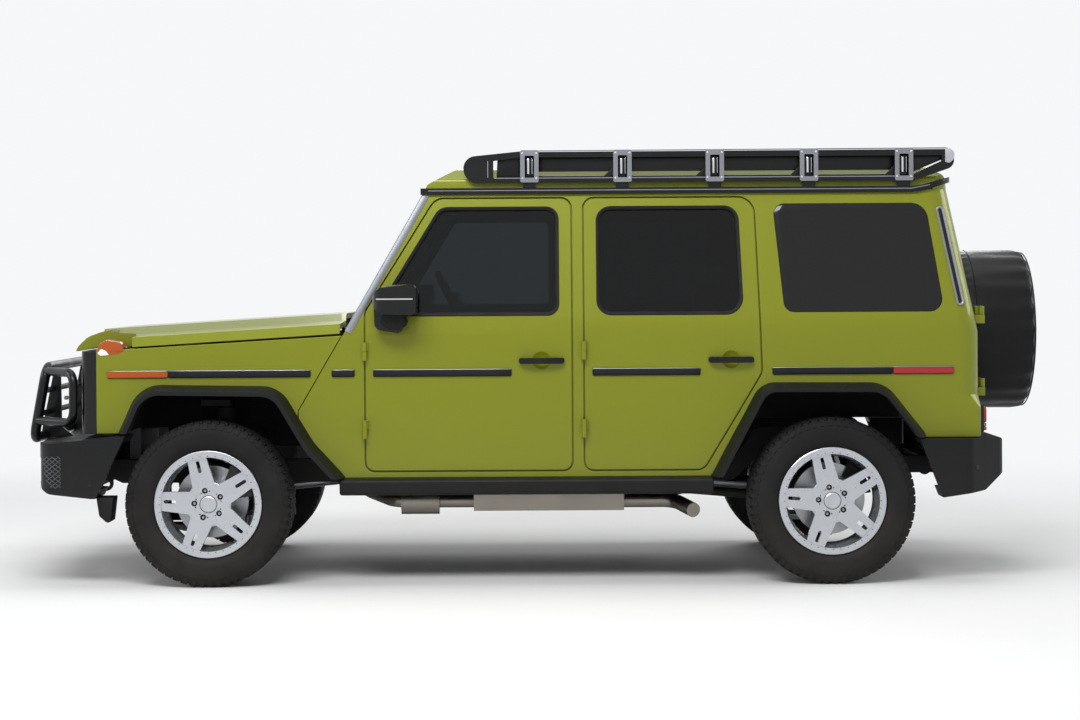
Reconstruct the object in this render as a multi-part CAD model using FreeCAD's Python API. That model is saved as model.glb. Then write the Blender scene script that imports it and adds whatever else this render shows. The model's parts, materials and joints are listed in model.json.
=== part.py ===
"""A five-door off-road 4x4 with a box-shaped cab on a ladder frame.

Millimetres, +X forward, +Y to the vehicle's left, +Z up. The origin is on the ground, in the middle of the
vehicle's length and width. Each named piece is written to parts/NAME.step.
"""

import FreeCAD
import Part
import math
import os
from FreeCAD import Vector

# ---------------------------------------------------------------- driving dimensions
WHEELBASE = 2890.0
FRONT_OVERHANG = 895.0  # front axle to the front of the brush guard
REAR_OVERHANG = 1110.0  # rear axle to the back of the covered spare wheel
TRACK = 1638.0
TYRE_RADIUS = 385.0
TYRE_WIDTH = 265.0
RIM_RADIUS = 250.0  # over the lips
BODY_HALF = 872.0  # half width of the body at its lower crease
FLARE_HALF = 965.0  # half width over the wheel arch flares
ROOF_HALF = 768.0  # half width at the rain gutter
SIDE_WALL = 82.0  # depth of the side frame with the step that the doors close on
SKIN = 18.0  # the outer layer of a door, as wide as its shut line
DOOR_THICKNESS = 60.0
PANEL = 26.0  # thickness of a fender, hood or roof with its inner frame
SHUT_GAP = 8.0  # all round a door, lid or tailgate
GLASS = 6.0
TUBE = 24.0  # radius of the brush guard's tube
HUB_BORE = 34.0
RUN_FIT = 0.05  # radial, between a spindle and the hub that turns on it
SEAT_FIT = 0.3  # between pieces that seat on a curved or slanted face
MOVE_GAP = 6.0  # between pieces that move past each other
PIN_GAP = 0.4  # between the two halves of a hinge barrel, along its pin

FRONT_X = (WHEELBASE + FRONT_OVERHANG + REAR_OVERHANG) / 2
REAR_X = -FRONT_X
XF = FRONT_X - FRONT_OVERHANG  # front axle
XR = REAR_X + REAR_OVERHANG  # rear axle
WHEEL_Y = TRACK / 2
AXLE_Z = TYRE_RADIUS
WIDE = 1200.0  # beyond the vehicle on either side, for cutting

# heights of the body's own lines
SILL_Z = AXLE_Z + 115.0
DOOR_LOW_Z = AXLE_Z + 143.0
CREASE_Z = AXLE_Z + 401.0
BELT_Z = AXLE_Z + 780.0
WAIST_Z = AXLE_Z + 873.0
WINDOW_TOP_Z = AXLE_Z + 1365.0
DOOR_TOP_Z = AXLE_Z + 1415.0
GUTTER_Z = AXLE_Z + 1445.0
GUTTER_RISE = 46.0  # how far the gutter climbs at the back of the roof
ROOF_Z = AXLE_Z + 1577.0
STRIP_Z = AXLE_Z + 600.0  # the middle of the rub strips
BUMPER_TOP_Z = AXLE_Z + 318.0
BUMPER_LOW_Z = AXLE_Z + 28.0
FLOOR_Z = AXLE_Z + 205.0
LOAD_FLOOR_Z = AXLE_Z + 395.0
PAN = 30.0  # thickness of the floor with its ribs
HOOD_SIDE_Z = AXLE_Z + 724.0  # the hood's shut line at its front
HOOD_RISE = 55.0  # from there to the windscreen

# lengthwise places, from the axle that they belong to
PANEL_FRONT = XF + 611.0
FENDER_FRONT = XF + 524.0
COWL_X = XF - 625.0
SCREEN_TOP_X = XF - 1002.0
BODY_REAR = XR - 702.0
ROOF_REAR = XR - 575.0
A_POST = XF - 725.0
B_POST_FRONT = XF - 1690.0
B_POST_REAR = XF - 1744.0
TAILGATE_HALF = 690.0

# hinges and steering
HINGE_Y = BODY_HALF + 22.0
TAILGATE_PIN_X = BODY_REAR - 30.0
TAILGATE_PIN_Y = TAILGATE_HALF + 18.0
HOOD_PIN_X = COWL_X + 45.0
HOOD_PIN_Z = BELT_Z + 45.0
HOOD_HINGE_Y = 380.0
HOOD_SWING = 3.5  # more gap at the hinge end, where the hood's edge dips as it opens
KINGPIN_Y = 680.0
STEER_ARM = 150.0
ROD_Z = AXLE_Z - 95.0


# ---------------------------------------------------------------- shapes from outlines
def corner(before, here, after):
    """The start, middle and end of the arc that rounds a corner; one point where its radius is 0."""
    at = Vector(here[0], here[1], 0)
    radius = here[2] if len(here) > 2 else 0
    if radius <= 0:
        return [at]
    one = (Vector(before[0], before[1], 0) - at).normalize()
    two = (Vector(after[0], after[1], 0) - at).normalize()
    half = one.getAngle(two) / 2
    reach = radius / math.tan(half)
    middle = (one + two).normalize()
    return [at + one * reach, at + middle * (radius / math.sin(half) - radius), at + two * reach]


def outline(points, place):
    """A closed wire through (u, v) or (u, v, corner radius) points, put in space by place(u, v)."""
    corners = [
        corner(points[i - 1], points[i], points[(i + 1) % len(points)]) for i in range(len(points))
    ]
    corners = [[place(p.x, p.y) for p in arc] for arc in corners]
    edges = []
    for i, arc in enumerate(corners):
        if len(arc) == 3:
            edges.append(Part.Arc(*arc).toShape())
        start, end = arc[-1], corners[(i + 1) % len(corners)][0]
        if (end - start).Length > 1e-6:
            edges.append(Part.LineSegment(start, end).toShape())
    return Part.Wire(edges)


def side_face(points, y=0.0, grow=0.0):
    """An outline seen from the side, (x, z), as a face that is larger all round by grow."""
    wire = outline(points, lambda u, v: Vector(u, 0, v))
    if grow:
        wire = wire.makeOffset2D(grow, 2)
    face = Part.Face(wire)
    face.translate(Vector(0, y, 0))
    return face


def side_prism(points, y_low=-WIDE, y_high=WIDE, grow=0.0):
    return side_face(points, y_low, grow).extrude(Vector(0, y_high - y_low, 0))


def plan_prism(points, z_low, z_high):
    """An outline seen from above, (x, y), made solid from z_low to z_high."""
    wire = outline(points, lambda u, v: Vector(u, v, z_low))
    return Part.Face(wire).extrude(Vector(0, 0, z_high - z_low))


def cross_wire(points, x):
    return outline(points, lambda u, v: Vector(x, u, v))


def cross_prism(points, x_low=REAR_X - 50, x_high=FRONT_X + 50, grow=0.0):
    """An outline seen from the front, (y, z), made solid from x_low to x_high."""
    wire = cross_wire(points, x_low)
    if grow:
        wire = wire.makeOffset2D(grow, 2)
    return Part.Face(wire).extrude(Vector(x_high - x_low, 0, 0))


def block(x_low, x_high, y_low, y_high, z_low, z_high):
    return Part.makeBox(x_high - x_low, y_high - y_low, z_high - z_low, Vector(x_low, y_low, z_low))


def rod(start, end, radius):
    start, end = Vector(*start), Vector(*end)
    return Part.makeCylinder(radius, (end - start).Length, start, end - start)


def mirrored(shape):
    return shape.mirror(Vector(0, 0, 0), Vector(0, 1, 0))


def both(*shapes):
    """The pieces and their mirror images on the other side, as separate solids."""
    return Part.makeCompound([s for shape in shapes for s in (shape, mirrored(shape))])


def fuse(first, *others):
    return first.fuse(list(others)).removeSplitter()


def two_sided(half):
    """A closed outline from its half on the +u side, listed from the bottom to the top."""
    return half + [(-p[0], *p[1:]) for p in reversed(half)]


def turned(points, y=0.0):
    """A solid of revolution about the Y axis from an outline of (along the axis, radius) points."""
    wire = outline(points, lambda u, v: Vector(0, u + y, v))
    return Part.Face(wire).revolve(Vector(0, 0, 0), Vector(0, 1, 0), 360)


def pipe(points, radius):
    """A round bar along straight runs joined by tangent arcs; each point is (x, y, z, bend radius)."""
    edges = []
    last = Vector(*points[0][:3])
    for i in range(1, len(points)):
        here = Vector(*points[i][:3])
        if i == len(points) - 1:
            edges.append(Part.LineSegment(last, here).toShape())
            break
        one = (Vector(*points[i - 1][:3]) - here).normalize()
        two = (Vector(*points[i + 1][:3]) - here).normalize()
        half = one.getAngle(two) / 2
        reach = points[i][3] / math.tan(half)
        middle = (one + two).normalize()
        enter, leave = here + one * reach, here + two * reach
        top = here + middle * (points[i][3] / math.sin(half) - points[i][3])
        if (enter - last).Length > 1e-6:
            edges.append(Part.LineSegment(last, enter).toShape())
        edges.append(Part.Arc(enter, top, leave).toShape())
        last = leave
    path = Part.Wire(edges)
    start = Vector(*points[0][:3])
    ahead = (Vector(*points[1][:3]) - start).normalize()
    section = Part.Wire(Part.Circle(start, ahead, radius).toShape())
    return path.makePipeShell([section], True, False)


def save(name, shape):
    """Writes one named piece, after checking that every solid in it is closed and sound."""
    solids = shape.Solids
    if not solids or not all(s.isValid() and s.isClosed() for s in solids):
        print("UNSOUND", name, len(solids))
    piece = solids[0] if len(solids) == 1 else Part.makeCompound(solids)
    piece.exportStep("parts/" + name + ".step")
    print(f"{name:28s} {len(solids)} solids  {piece.Volume / 1e6:9.3f} litres")


# ---------------------------------------------------------------- outlines that several pieces share
def side_section(inset):
    """Half of the body's cross-section below the gutter, from the sill up, moved inwards by inset."""
    return [
        (BODY_HALF - 16 - inset, SILL_Z),
        (BODY_HALF - inset, CREASE_Z),
        (BODY_HALF + 6 - inset, BELT_Z),
        (BODY_HALF - 4 - inset, WAIST_Z - 12),
        (ROOF_HALF - inset, GUTTER_Z),
    ]


def side_wall(outer_inset, inner_inset):
    """The left wall between two depths below the outer skin, over the whole length."""
    return cross_prism(side_section(outer_inset) + side_section(inner_inset)[::-1])


def side_y(z):
    """Half the body's width at height z."""
    section = side_section(0)
    for (y_low, z_low), (y_high, z_high) in zip(section, section[1:]):
        if z <= z_high:
            return y_low + (y_high - y_low) * (z - z_low) / (z_high - z_low)
    return section[-1][0]


def screen_x(z, back=0.0):
    """Where the windscreen plane is at height z, moved backwards by back."""
    slope = (SCREEN_TOP_X - COWL_X) / (GUTTER_Z - BELT_Z)
    return COWL_X + slope * (z - BELT_Z) - back


def back_x(z, ahead=0.0):
    """Where the back of the body is at height z: upright up to the belt, then leaning forward."""
    slope = (ROOF_REAR - BODY_REAR) / (GUTTER_Z - BELT_Z)
    return BODY_REAR + max(0.0, z - BELT_Z) * slope + ahead


FRONT_ARCH = [
    (XF + 518, AXLE_Z + 30),
    (XF + 404, AXLE_Z + 258),
    (XF + 292, AXLE_Z + 508, 110),
    (XF - 302, AXLE_Z + 498, 100),
    (XF - 449, AXLE_Z + 248, 300),
    (XF - 578, AXLE_Z + 108),
    (XF - 640, AXLE_Z + 30),
]
REAR_ARCH = [
    (XR + 560, AXLE_Z + 30),
    (XR + 505, AXLE_Z + 120),
    (XR + 300, AXLE_Z + 507, 70),
    (XR - 232, AXLE_Z + 504, 110),
    (XR - 397, AXLE_Z + 293),
    (XR - 480, AXLE_Z + 30),
]
FRONT_DOOR = [
    (A_POST, DOOR_LOW_Z, 45),
    (A_POST, WAIST_Z + 12, 60),
    (XF - 1053, DOOR_TOP_Z, 70),
    (B_POST_FRONT, DOOR_TOP_Z, 50),
    (B_POST_FRONT, DOOR_LOW_Z, 45),
]
REAR_DOOR = [
    (B_POST_REAR, DOOR_LOW_Z, 45),
    (B_POST_REAR, DOOR_TOP_Z, 50),
    (XR + 345, DOOR_TOP_Z, 80),
    (XR + 318, STRIP_Z - 5, 70),
    (XR + 590, DOOR_LOW_Z, 60),
]
FRONT_WINDOW = [
    (XF - 777, WAIST_Z, 20),
    (XF - 1078, WINDOW_TOP_Z, 60),
    (B_POST_FRONT + 69, WINDOW_TOP_Z, 50),
    (B_POST_FRONT + 69, WAIST_Z, 45),
]
REAR_WINDOW = [
    (B_POST_REAR - 69, WAIST_Z, 60),
    (B_POST_REAR - 69, WINDOW_TOP_Z, 60),
    (XR + 428, WINDOW_TOP_Z, 60),
    (XR + 410, WAIST_Z, 70),
]
QUARTER_WINDOW = [
    (XR + 211, WAIST_Z, 50),
    (XR + 258, WINDOW_TOP_Z + 17, 50),
    (XR - 460, WINDOW_TOP_Z + 17, 80),
    (XR - 534, WAIST_Z, 60),
]
POST_SLOT = [  # the slanted slot in the rearmost post
    (XR - 597, AXLE_Z + 904, 12),
    (XR - 512, AXLE_Z + 1358, 12),
    (XR - 538, AXLE_Z + 1363, 12),
    (XR - 623, AXLE_Z + 909, 12),
]
SIDE_SILHOUETTE = [
    (XF - 416, AXLE_Z + 427),
    (XF - 621, AXLE_Z + 776),
    (screen_x(BELT_Z), BELT_Z),
    (screen_x(GUTTER_Z), GUTTER_Z),
    (back_x(GUTTER_Z), GUTTER_Z),
    (back_x(BELT_Z), BELT_Z),
    (BODY_REAR, AXLE_Z + 290),
    (XR - 300, AXLE_Z + 290),
    (XR - 300, SILL_Z),
    (XF - 416, SILL_Z),
]


def cab_space(inset=0.0):
    """The space inside the outer skin from the windscreen to the back, up to the gutter."""
    profile = [
        (COWL_X - inset, SILL_Z),
        (COWL_X - inset, BELT_Z),
        (screen_x(GUTTER_Z, inset), GUTTER_Z),
        (back_x(GUTTER_Z, inset), GUTTER_Z),
        (back_x(BELT_Z, inset), BELT_Z),
        (BODY_REAR + inset, SILL_Z),
    ]
    return cross_prism(two_sided(side_section(inset))).common(side_prism(profile))


def corner_waste():
    """What the rounded corner at the rear left takes away, tight at the tail lamp and wide above it."""
    past = 8.0
    sections = []
    for z, radius in (
        (AXLE_Z + 280, TAIL_CORNER_R),
        (CORNER_Z - 55, TAIL_CORNER_R),
        (CORNER_Z, CORNER_R),
        (BELT_Z, CORNER_R),
        (WAIST_Z - 12, CORNER_R),
        (GUTTER_Z, CORNER_R),
    ):
        x, y = back_x(z), side_y(z)
        inner = radius * (1 - math.sqrt(0.5))
        rim = [
            Vector(x, y - radius, z),
            Vector(x - past, y - radius, z),
            Vector(x - past, y + past, z),
            Vector(x + radius, y + past, z),
            Vector(x + radius, y, z),
        ]
        edges = [Part.LineSegment(*pair).toShape() for pair in zip(rim, rim[1:])]
        edges.append(Part.Arc(rim[-1], Vector(x + inner, y - inner, z), rim[0]).toShape())
        sections.append(Part.Wire(edges))
    return Part.makeLoft(sections, True, True)


def back_sheet(near, far, low, high):
    """A sheet that follows the back of the body between two depths, seen from the side."""
    points = [(back_x(low, near), low)]
    if low < BELT_Z < high:
        points.append((back_x(BELT_Z, near), BELT_Z))
    points += [(back_x(high, near), high), (back_x(high, far), high)]
    if low < BELT_Z < high:
        points.append((back_x(BELT_Z, far), BELT_Z))
    points.append((back_x(low, far), low))
    return side_prism(points)


def screen_sheet(front, back, low, high):
    """A sheet parallel to the windscreen between two depths, seen from the side."""
    return side_prism(
        [
            (screen_x(low, front), low),
            (screen_x(high, front), high),
            (screen_x(high, back), high),
            (screen_x(low, back), low),
        ]
    )


CORNER_R = 105.0  # the body's rear corners above the tail lamps
CORNER_Z = AXLE_Z + 485.0
TAIL_CORNER_R = 22.0
TAILGATE_LOW = AXLE_Z + 318.0
TAILGATE_HIGH = DOOR_TOP_Z - 2.0
TAILGATE_OUTLINE = two_sided(
    [
        (TAILGATE_HALF, TAILGATE_LOW, 40),
        (TAILGATE_HALF, BELT_Z),
        (TAILGATE_HALF - 42, TAILGATE_HIGH, 60),
    ]
)
TAILGATE_WINDOW = two_sided([(TAILGATE_HALF - 92, WAIST_Z + 30, 50), (TAILGATE_HALF - 118, WINDOW_TOP_Z - 10, 60)])
SCREEN_OPENING = two_sided([(BODY_HALF - 145, BELT_Z + 70, 60), (ROOF_HALF - 128, GUTTER_Z - 55, 60)])


# ---------------------------------------------------------------- body
def body_side():
    """The left side frame: sill, posts, roof rail and rear corner, with a step that the doors close on."""
    wall = side_wall(0, SIDE_WALL).common(side_prism(SIDE_SILHOUETTE))
    post = cab_space().common(back_sheet(0, 95, AXLE_Z + 290, GUTTER_Z))
    post = post.common(block(REAR_X, 0, 560, WIDE, 0, 3000))
    frame = wall.fuse(post).cut(corner_waste())
    frame = frame.cut(cross_prism(TAILGATE_OUTLINE, grow=SHUT_GAP / 2).common(back_sheet(-5, SKIN + 6, 0, 3000)))
    frame = frame.cut(cross_prism(TAILGATE_OUTLINE, grow=-14))
    frame = frame.cut(side_prism(FRONT_ARCH, grow=24)).cut(side_prism(REAR_ARCH, grow=24))
    for door in (FRONT_DOOR, REAR_DOOR):
        frame = frame.cut(side_wall(-5, SKIN + 6).common(side_prism(door, grow=SHUT_GAP / 2)))
        frame = frame.cut(side_prism(door, grow=-14))
    frame = frame.cut(side_prism(QUARTER_WINDOW))
    frame = frame.cut(quarter_glass())
    frame = frame.cut(side_wall(-5, 9).common(side_prism(POST_SLOT)))
    for z in DOOR_HINGES:
        for x in (A_POST, B_POST_REAR):
            frame = frame.fuse(hinge_fixed(x, z))
    return frame.removeSplitter()


DOOR_HINGES = (AXLE_Z + 702.0, AXLE_Z + 341.0)
HINGE_HALF = 42.0
HINGE_R = 12.0
HINGE_LEAF = 16.0


def hinge_fixed(x, z):
    """The fixed half of a door hinge: the lower half of its barrel and a leaf on the post ahead of it."""
    barrel = rod((x, HINGE_Y, z - HINGE_HALF), (x, HINGE_Y, z - PIN_GAP), HINGE_R)
    leaf = block(x, x + HINGE_LEAF, BODY_HALF - 12, HINGE_Y - 4, z - HINGE_HALF, z - PIN_GAP)
    return fuse(barrel, leaf)


def hinge_moving(x, z):
    barrel = rod((x, HINGE_Y, z), (x, HINGE_Y, z + HINGE_HALF), HINGE_R)
    leaf = block(x - HINGE_LEAF, x, BODY_HALF - 12, HINGE_Y - 4, z, z + HINGE_HALF)
    return fuse(barrel, leaf)


def quarter_glass():
    return side_wall(10, 10 + GLASS).common(side_prism(QUARTER_WINDOW, 0, WIDE, grow=14))


def roof_plan(grow):
    """The roof seen from above, open to the front, larger all round by grow."""
    side, rear, radius = ROOF_HALF + grow, ROOF_REAR - grow, CORNER_R + grow
    return [(WIDE, side), (rear, side, radius), (rear, -side, radius), (WIDE, -side)]


def roof_ring(inner, outer, seen_from_side):
    """A band round the sides and back of the roof, between two distances out from its edge."""
    low, high = GUTTER_Z - 50, ROOF_Z
    ring = plan_prism(roof_plan(outer), low, high).cut(plan_prism(roof_plan(inner), low, high))
    return ring.common(side_prism(seen_from_side))


def roof_panel():
    """The roof with a rounded edge all round and the rain gutter along its sides and back."""

    def layer(inset, low):
        section = two_sided(
            [
                (ROOF_HALF - inset, low),
                (ROOF_HALF - 8 - inset, GUTTER_Z + 62 - inset, 25),
                (ROOF_HALF - 110 - inset, ROOF_Z - 20 - inset, 120),
            ]
        )
        section.insert(3, (0, ROOF_Z - inset))
        lengthwise = [
            (screen_x(GUTTER_Z, inset), low),
            (screen_x(GUTTER_Z, inset + 12), GUTTER_Z + 34, 20),
            (screen_x(GUTTER_Z, inset + 190), ROOF_Z - inset + 1, 300),
            (ROOF_REAR + 130 + inset, ROOF_Z - inset + 1, 160),
            (ROOF_REAR + 14 + inset, GUTTER_Z + 60, 40),
            (ROOF_REAR + inset, low),
        ]
        solid = cross_prism(section).common(side_prism(lengthwise))
        return solid.common(plan_prism(roof_plan(-inset), low, ROOF_Z + 5))

    shell = layer(0, GUTTER_Z).cut(layer(PANEL, GUTTER_Z - 60))
    nose, bend, tail = screen_x(GUTTER_Z), ROOF_REAR + 150, ROOF_REAR - 20
    channel = [
        (nose + 18, GUTTER_Z - 13),
        (nose + 18, GUTTER_Z + 17),
        (bend, GUTTER_Z + 17, 260),
        (tail, GUTTER_Z + GUTTER_RISE + 17),
        (tail, GUTTER_Z + GUTTER_RISE - 9),
        (bend, GUTTER_Z - 13, 260),
    ]
    foot = [
        (nose - 2, GUTTER_Z),
        (nose - 2, GUTTER_Z + 15),
        (bend, GUTTER_Z + 15, 260),
        (tail, GUTTER_Z + GUTTER_RISE + 12),
        (tail, GUTTER_Z + GUTTER_RISE - 4),
        (bend, GUTTER_Z, 260),
    ]
    return fuse(shell, roof_ring(2.5, 17, channel), roof_ring(-18, 5, foot))


def windscreen_frame():
    """Header, side strips, lower rail and cowl between the side frames."""
    inside = cross_prism(two_sided(side_section(SIDE_WALL)))
    slab = screen_sheet(0, 55, BELT_Z - 20, GUTTER_Z).common(inside)
    cowl = side_prism(
        [
            (COWL_X + 30, BELT_Z - 90),
            (COWL_X + 30, BELT_Z - 10),
            (screen_x(BELT_Z - 10), BELT_Z - 10),
            (screen_x(BELT_Z - 90, 60), BELT_Z - 90),
        ]
    ).common(inside)
    frame = slab.fuse(cowl)
    frame = frame.cut(cross_prism(SCREEN_OPENING)).cut(screen_glass())
    brackets = []
    for side in (-1, 1):
        y_low, y_high = sorted((side * (HOOD_HINGE_Y + PIN_GAP), side * (HOOD_HINGE_Y + 34)))
        brackets.append(rod((HOOD_PIN_X, y_low, HOOD_PIN_Z), (HOOD_PIN_X, y_high, HOOD_PIN_Z), 10))
        arm = side_prism(
            [
                (COWL_X + 5, BELT_Z - 30),
                (COWL_X + 28, BELT_Z - 30),
                (HOOD_PIN_X + 8, HOOD_PIN_Z - 4),
                (HOOD_PIN_X - 6, HOOD_PIN_Z + 6),
            ],
            y_low,
            y_high,
        )
        brackets.append(arm)
    return fuse(frame, *brackets)


def screen_glass():
    sheet = screen_sheet(6, 6 + GLASS + 2, BELT_Z + 10, GUTTER_Z - 10)
    return cross_prism(SCREEN_OPENING, grow=16).common(sheet)


def rear_frame():
    """Header above the tailgate and the sill below it, between the corner posts."""
    section = cross_prism(two_sided([(560, AXLE_Z + 200), (560, GUTTER_Z)]))
    sheet = back_sheet(0, 95, AXLE_Z + 290, GUTTER_Z).common(section)
    sheet = sheet.cut(cross_prism(TAILGATE_OUTLINE, grow=SHUT_GAP / 2).common(back_sheet(-5, SKIN + 6, 0, 3000)))
    return sheet.cut(cross_prism(TAILGATE_OUTLINE, grow=-14)).removeSplitter()


HEEL_X = XR + 470  # front face of the heel board
TUB_REAR = XR - 440
TUB_Y = 530.0  # inner face of the boxes over the rear wheels


def floor_half():
    return BODY_HALF - SIDE_WALL - 16


def floor_pan():
    """Floor with its tunnel, and the foot wall ahead of the cab."""
    half = floor_half()
    tunnel_end = XF - 1560
    floor = block(HEEL_X - PAN, COWL_X - 10, -half, half, FLOOR_Z - PAN, FLOOR_Z)
    wall = block(COWL_X - 40, COWL_X - 10, -half, half, FLOOR_Z, BELT_Z - 90)
    toe = side_prism(
        [(COWL_X - 40, FLOOR_Z), (COWL_X - 40, FLOOR_Z + 200), (COWL_X - 240, FLOOR_Z)], -half, half
    )
    tunnel = cross_prism(tunnel_section(0), tunnel_end, COWL_X - 10)
    pan = fuse(floor, wall, toe, tunnel)
    return pan.cut(cross_prism(tunnel_section(20), tunnel_end + 20, COWL_X))


def load_floor():
    """The raised floor behind the rear seat: heel board, deck and a boxed tub over each rear wheel."""
    half = floor_half()
    rear, top = BODY_REAR + 95, LOAD_FLOOR_Z + 180
    low = LOAD_FLOOR_Z - PAN
    heel = block(HEEL_X - PAN, HEEL_X, -half, half, FLOOR_Z, LOAD_FLOOR_Z)
    deck = block(rear, HEEL_X - PAN, -TUB_Y, TUB_Y, low, LOAD_FLOOR_Z)
    deck = deck.fuse(block(rear, TUB_REAR - PAN, -half, half, low, LOAD_FLOOR_Z))
    tub = fuse(
        block(TUB_REAR, HEEL_X - PAN, TUB_Y, TUB_Y + PAN, low, top - 20),
        block(TUB_REAR - PAN, TUB_REAR, TUB_Y, half, low, top - 20),
        block(TUB_REAR - PAN, HEEL_X, TUB_Y, half, top - 20, top),
        block(HEEL_X - PAN, HEEL_X, TUB_Y, half, LOAD_FLOOR_Z, top - 20),
    )
    return Part.makeCompound([heel, deck, tub, mirrored(tub)])


def tunnel_section(inset):
    """The tunnel over the gearbox, seen from the front."""
    top = FLOOR_Z + 150 - inset
    return two_sided([(150 - inset, FLOOR_Z - 31), (145 - inset, FLOOR_Z), (115 - inset, top, 40)])


def door(outline_points, window):
    """A left-hand door: a skin layer up to the shut line and an inner layer that fits inside the step."""
    skin = side_wall(0, SKIN).common(side_prism(outline_points, 0, WIDE, grow=-SHUT_GAP / 2))
    inner = side_wall(SKIN, DOOR_THICKNESS).common(side_prism(outline_points, 0, WIDE, grow=-34))
    return skin.fuse(inner).cut(side_prism(window))


def door_glass(window):
    return side_wall(12, 12 + GLASS).common(side_prism(window, 0, WIDE, grow=14))


HANDLE_Z = AXLE_Z + 655.0
HANDLE_LENGTH = 212.0
HANDLE_HALF = 14.0
HANDLE_PALM = 42.0  # radius of the dish behind the grip
HANDLE_DISH = 12.0  # depth of that dish


def door_handle(x_rear):
    """A bowed grip on two feet, with a push button in its front end."""
    x_front, low, high = x_rear + HANDLE_LENGTH, HANDLE_Z - HANDLE_HALF, HANDLE_Z + HANDLE_HALF
    skin = side_y(HANDLE_Z)
    outer = [
        (x_rear, skin - 8),
        (x_rear, skin + 24, 22),
        (x_rear + 70, skin + 42, 120),
        (x_front - 60, skin + 42, 120),
        (x_front, skin + 26, 18),
        (x_front, skin - 8),
    ]
    inner = [
        (x_rear + 24, skin - 10),
        (x_rear + 24, skin + 12, 14),
        (x_rear + 74, skin + 26, 100),
        (x_front - 84, skin + 26, 60),
        (x_front - 56, skin + 14, 10),
        (x_front - 56, skin - 10),
    ]
    face = [(x_rear, low, 12), (x_rear, high, 12), (x_front, high, 12), (x_front, low, 12)]
    grip = plan_prism(outer, low, high).common(side_prism(face)).cut(plan_prism(inner, low - 1, high + 1))
    button = rod((x_front - 30, skin + 20, HANDLE_Z), (x_front - 30, skin + 41, HANDLE_Z), 11)
    return fuse(grip, button)


def handle_dish(x_rear):
    """The shallow round hollow in the door's skin that makes room for the fingers."""
    ball = (HANDLE_PALM * HANDLE_PALM + HANDLE_DISH * HANDLE_DISH) / (2 * HANDLE_DISH)
    centre = Vector(x_rear + HANDLE_LENGTH / 2, side_y(HANDLE_Z) + ball - HANDLE_DISH, HANDLE_Z)
    return Part.makeSphere(ball, centre)


def front_door_left():
    handle_x = B_POST_FRONT + 37
    piece = door(FRONT_DOOR, FRONT_WINDOW).cut(door_glass(FRONT_WINDOW)).cut(handle_dish(handle_x))
    extra = [hinge_moving(A_POST, z) for z in DOOR_HINGES]
    extra.append(door_handle(handle_x))
    return fuse(piece, *extra)


def rear_door_left():
    handle_x = XR + 356
    piece = door(REAR_DOOR, REAR_WINDOW).cut(door_glass(REAR_WINDOW)).cut(handle_dish(handle_x))
    extra = [hinge_moving(B_POST_REAR, z) for z in DOOR_HINGES]
    extra.append(door_handle(handle_x))
    return fuse(piece, *extra)


def mirror():
    """The left mirror: an egg-shaped housing with a flat back, on a foot below the window's corner."""
    low, high = AXLE_Z + 864.0, AXLE_Z + 1015.0
    front, rear = XF - 768.0, XF - 972.0
    near, far = BODY_HALF + 28.0, BODY_HALF + 182.0
    seen_from_above = [(rear, near, 14), (front + 10, near, 60), (front - 10, far, 70), (rear, far, 16)]
    seen_from_side = [(rear, low + 6, 30), (front, low + 14, 62), (front, high - 22, 60), (rear, high, 26)]
    head = plan_prism(seen_from_above, low, high).common(side_prism(seen_from_side))
    head = head.cut(side_prism(seen_from_side, 0, WIDE, grow=-9).common(block(rear - 1, rear + 8, near + 9, far - 9, low, high)))
    foot_side = [
        (front - 5, low + 40),
        (front - 8, low - 58, 34),
        (front - 125, low - 78, 26),
        (front - 150, low - 40, 22),
        (front - 110, low + 40),
    ]
    foot = side_prism(foot_side, BODY_HALF - 20, near + 50)
    return fuse(head, foot).cut(side_wall(-SEAT_FIT, 400))


def tailgate():
    skin = cross_prism(TAILGATE_OUTLINE, grow=-SHUT_GAP / 2).common(back_sheet(0, SKIN, 0, 3000))
    inner = cross_prism(TAILGATE_OUTLINE, grow=-34).common(back_sheet(SKIN, DOOR_THICKNESS, 0, 3000))
    gate = skin.fuse(inner).cut(cross_prism(TAILGATE_WINDOW)).cut(tailgate_glass())
    for z in TAILGATE_HINGES:
        pin = (TAILGATE_PIN_X, TAILGATE_PIN_Y)
        barrel = rod((*pin, z), (*pin, z + 40), 15)
        plate = block(pin[0] - 8, BODY_REAR - 2, pin[1] - 90, pin[1], z, z + 40)
        root = block(BODY_REAR - 2, BODY_REAR + 32, pin[1] - 90, TAILGATE_HALF - 38, z, z + 40)
        gate = gate.fuse(fuse(barrel, plate, root))
    return gate.removeSplitter()


TAILGATE_HINGES = (AXLE_Z + 855.0, AXLE_Z + 515.0)


def tailgate_hinge_fixed():
    halves = []
    for z in TAILGATE_HINGES:
        pin = (TAILGATE_PIN_X, TAILGATE_PIN_Y)
        barrel = rod((*pin, z - 40), (*pin, z - PIN_GAP), 15)
        ahead = back_x(z)
        leaf = block(pin[0] - 8, ahead + 20, pin[1], pin[1] + 50, z - 40, z - PIN_GAP)
        halves.append(fuse(barrel, leaf))
    return halves


def tailgate_glass():
    return cross_prism(TAILGATE_WINDOW, grow=14).common(back_sheet(12, 12 + GLASS, 0, 3000))


SPARE_Z = AXLE_Z + 772.0
SPARE_R = 397.0
SPARE_FRONT = XR - 812.0
SPARE_BACK = REAR_X
SPARE_DOME = 72.0  # how far the cover's outer face bulges past its shoulder


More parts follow.
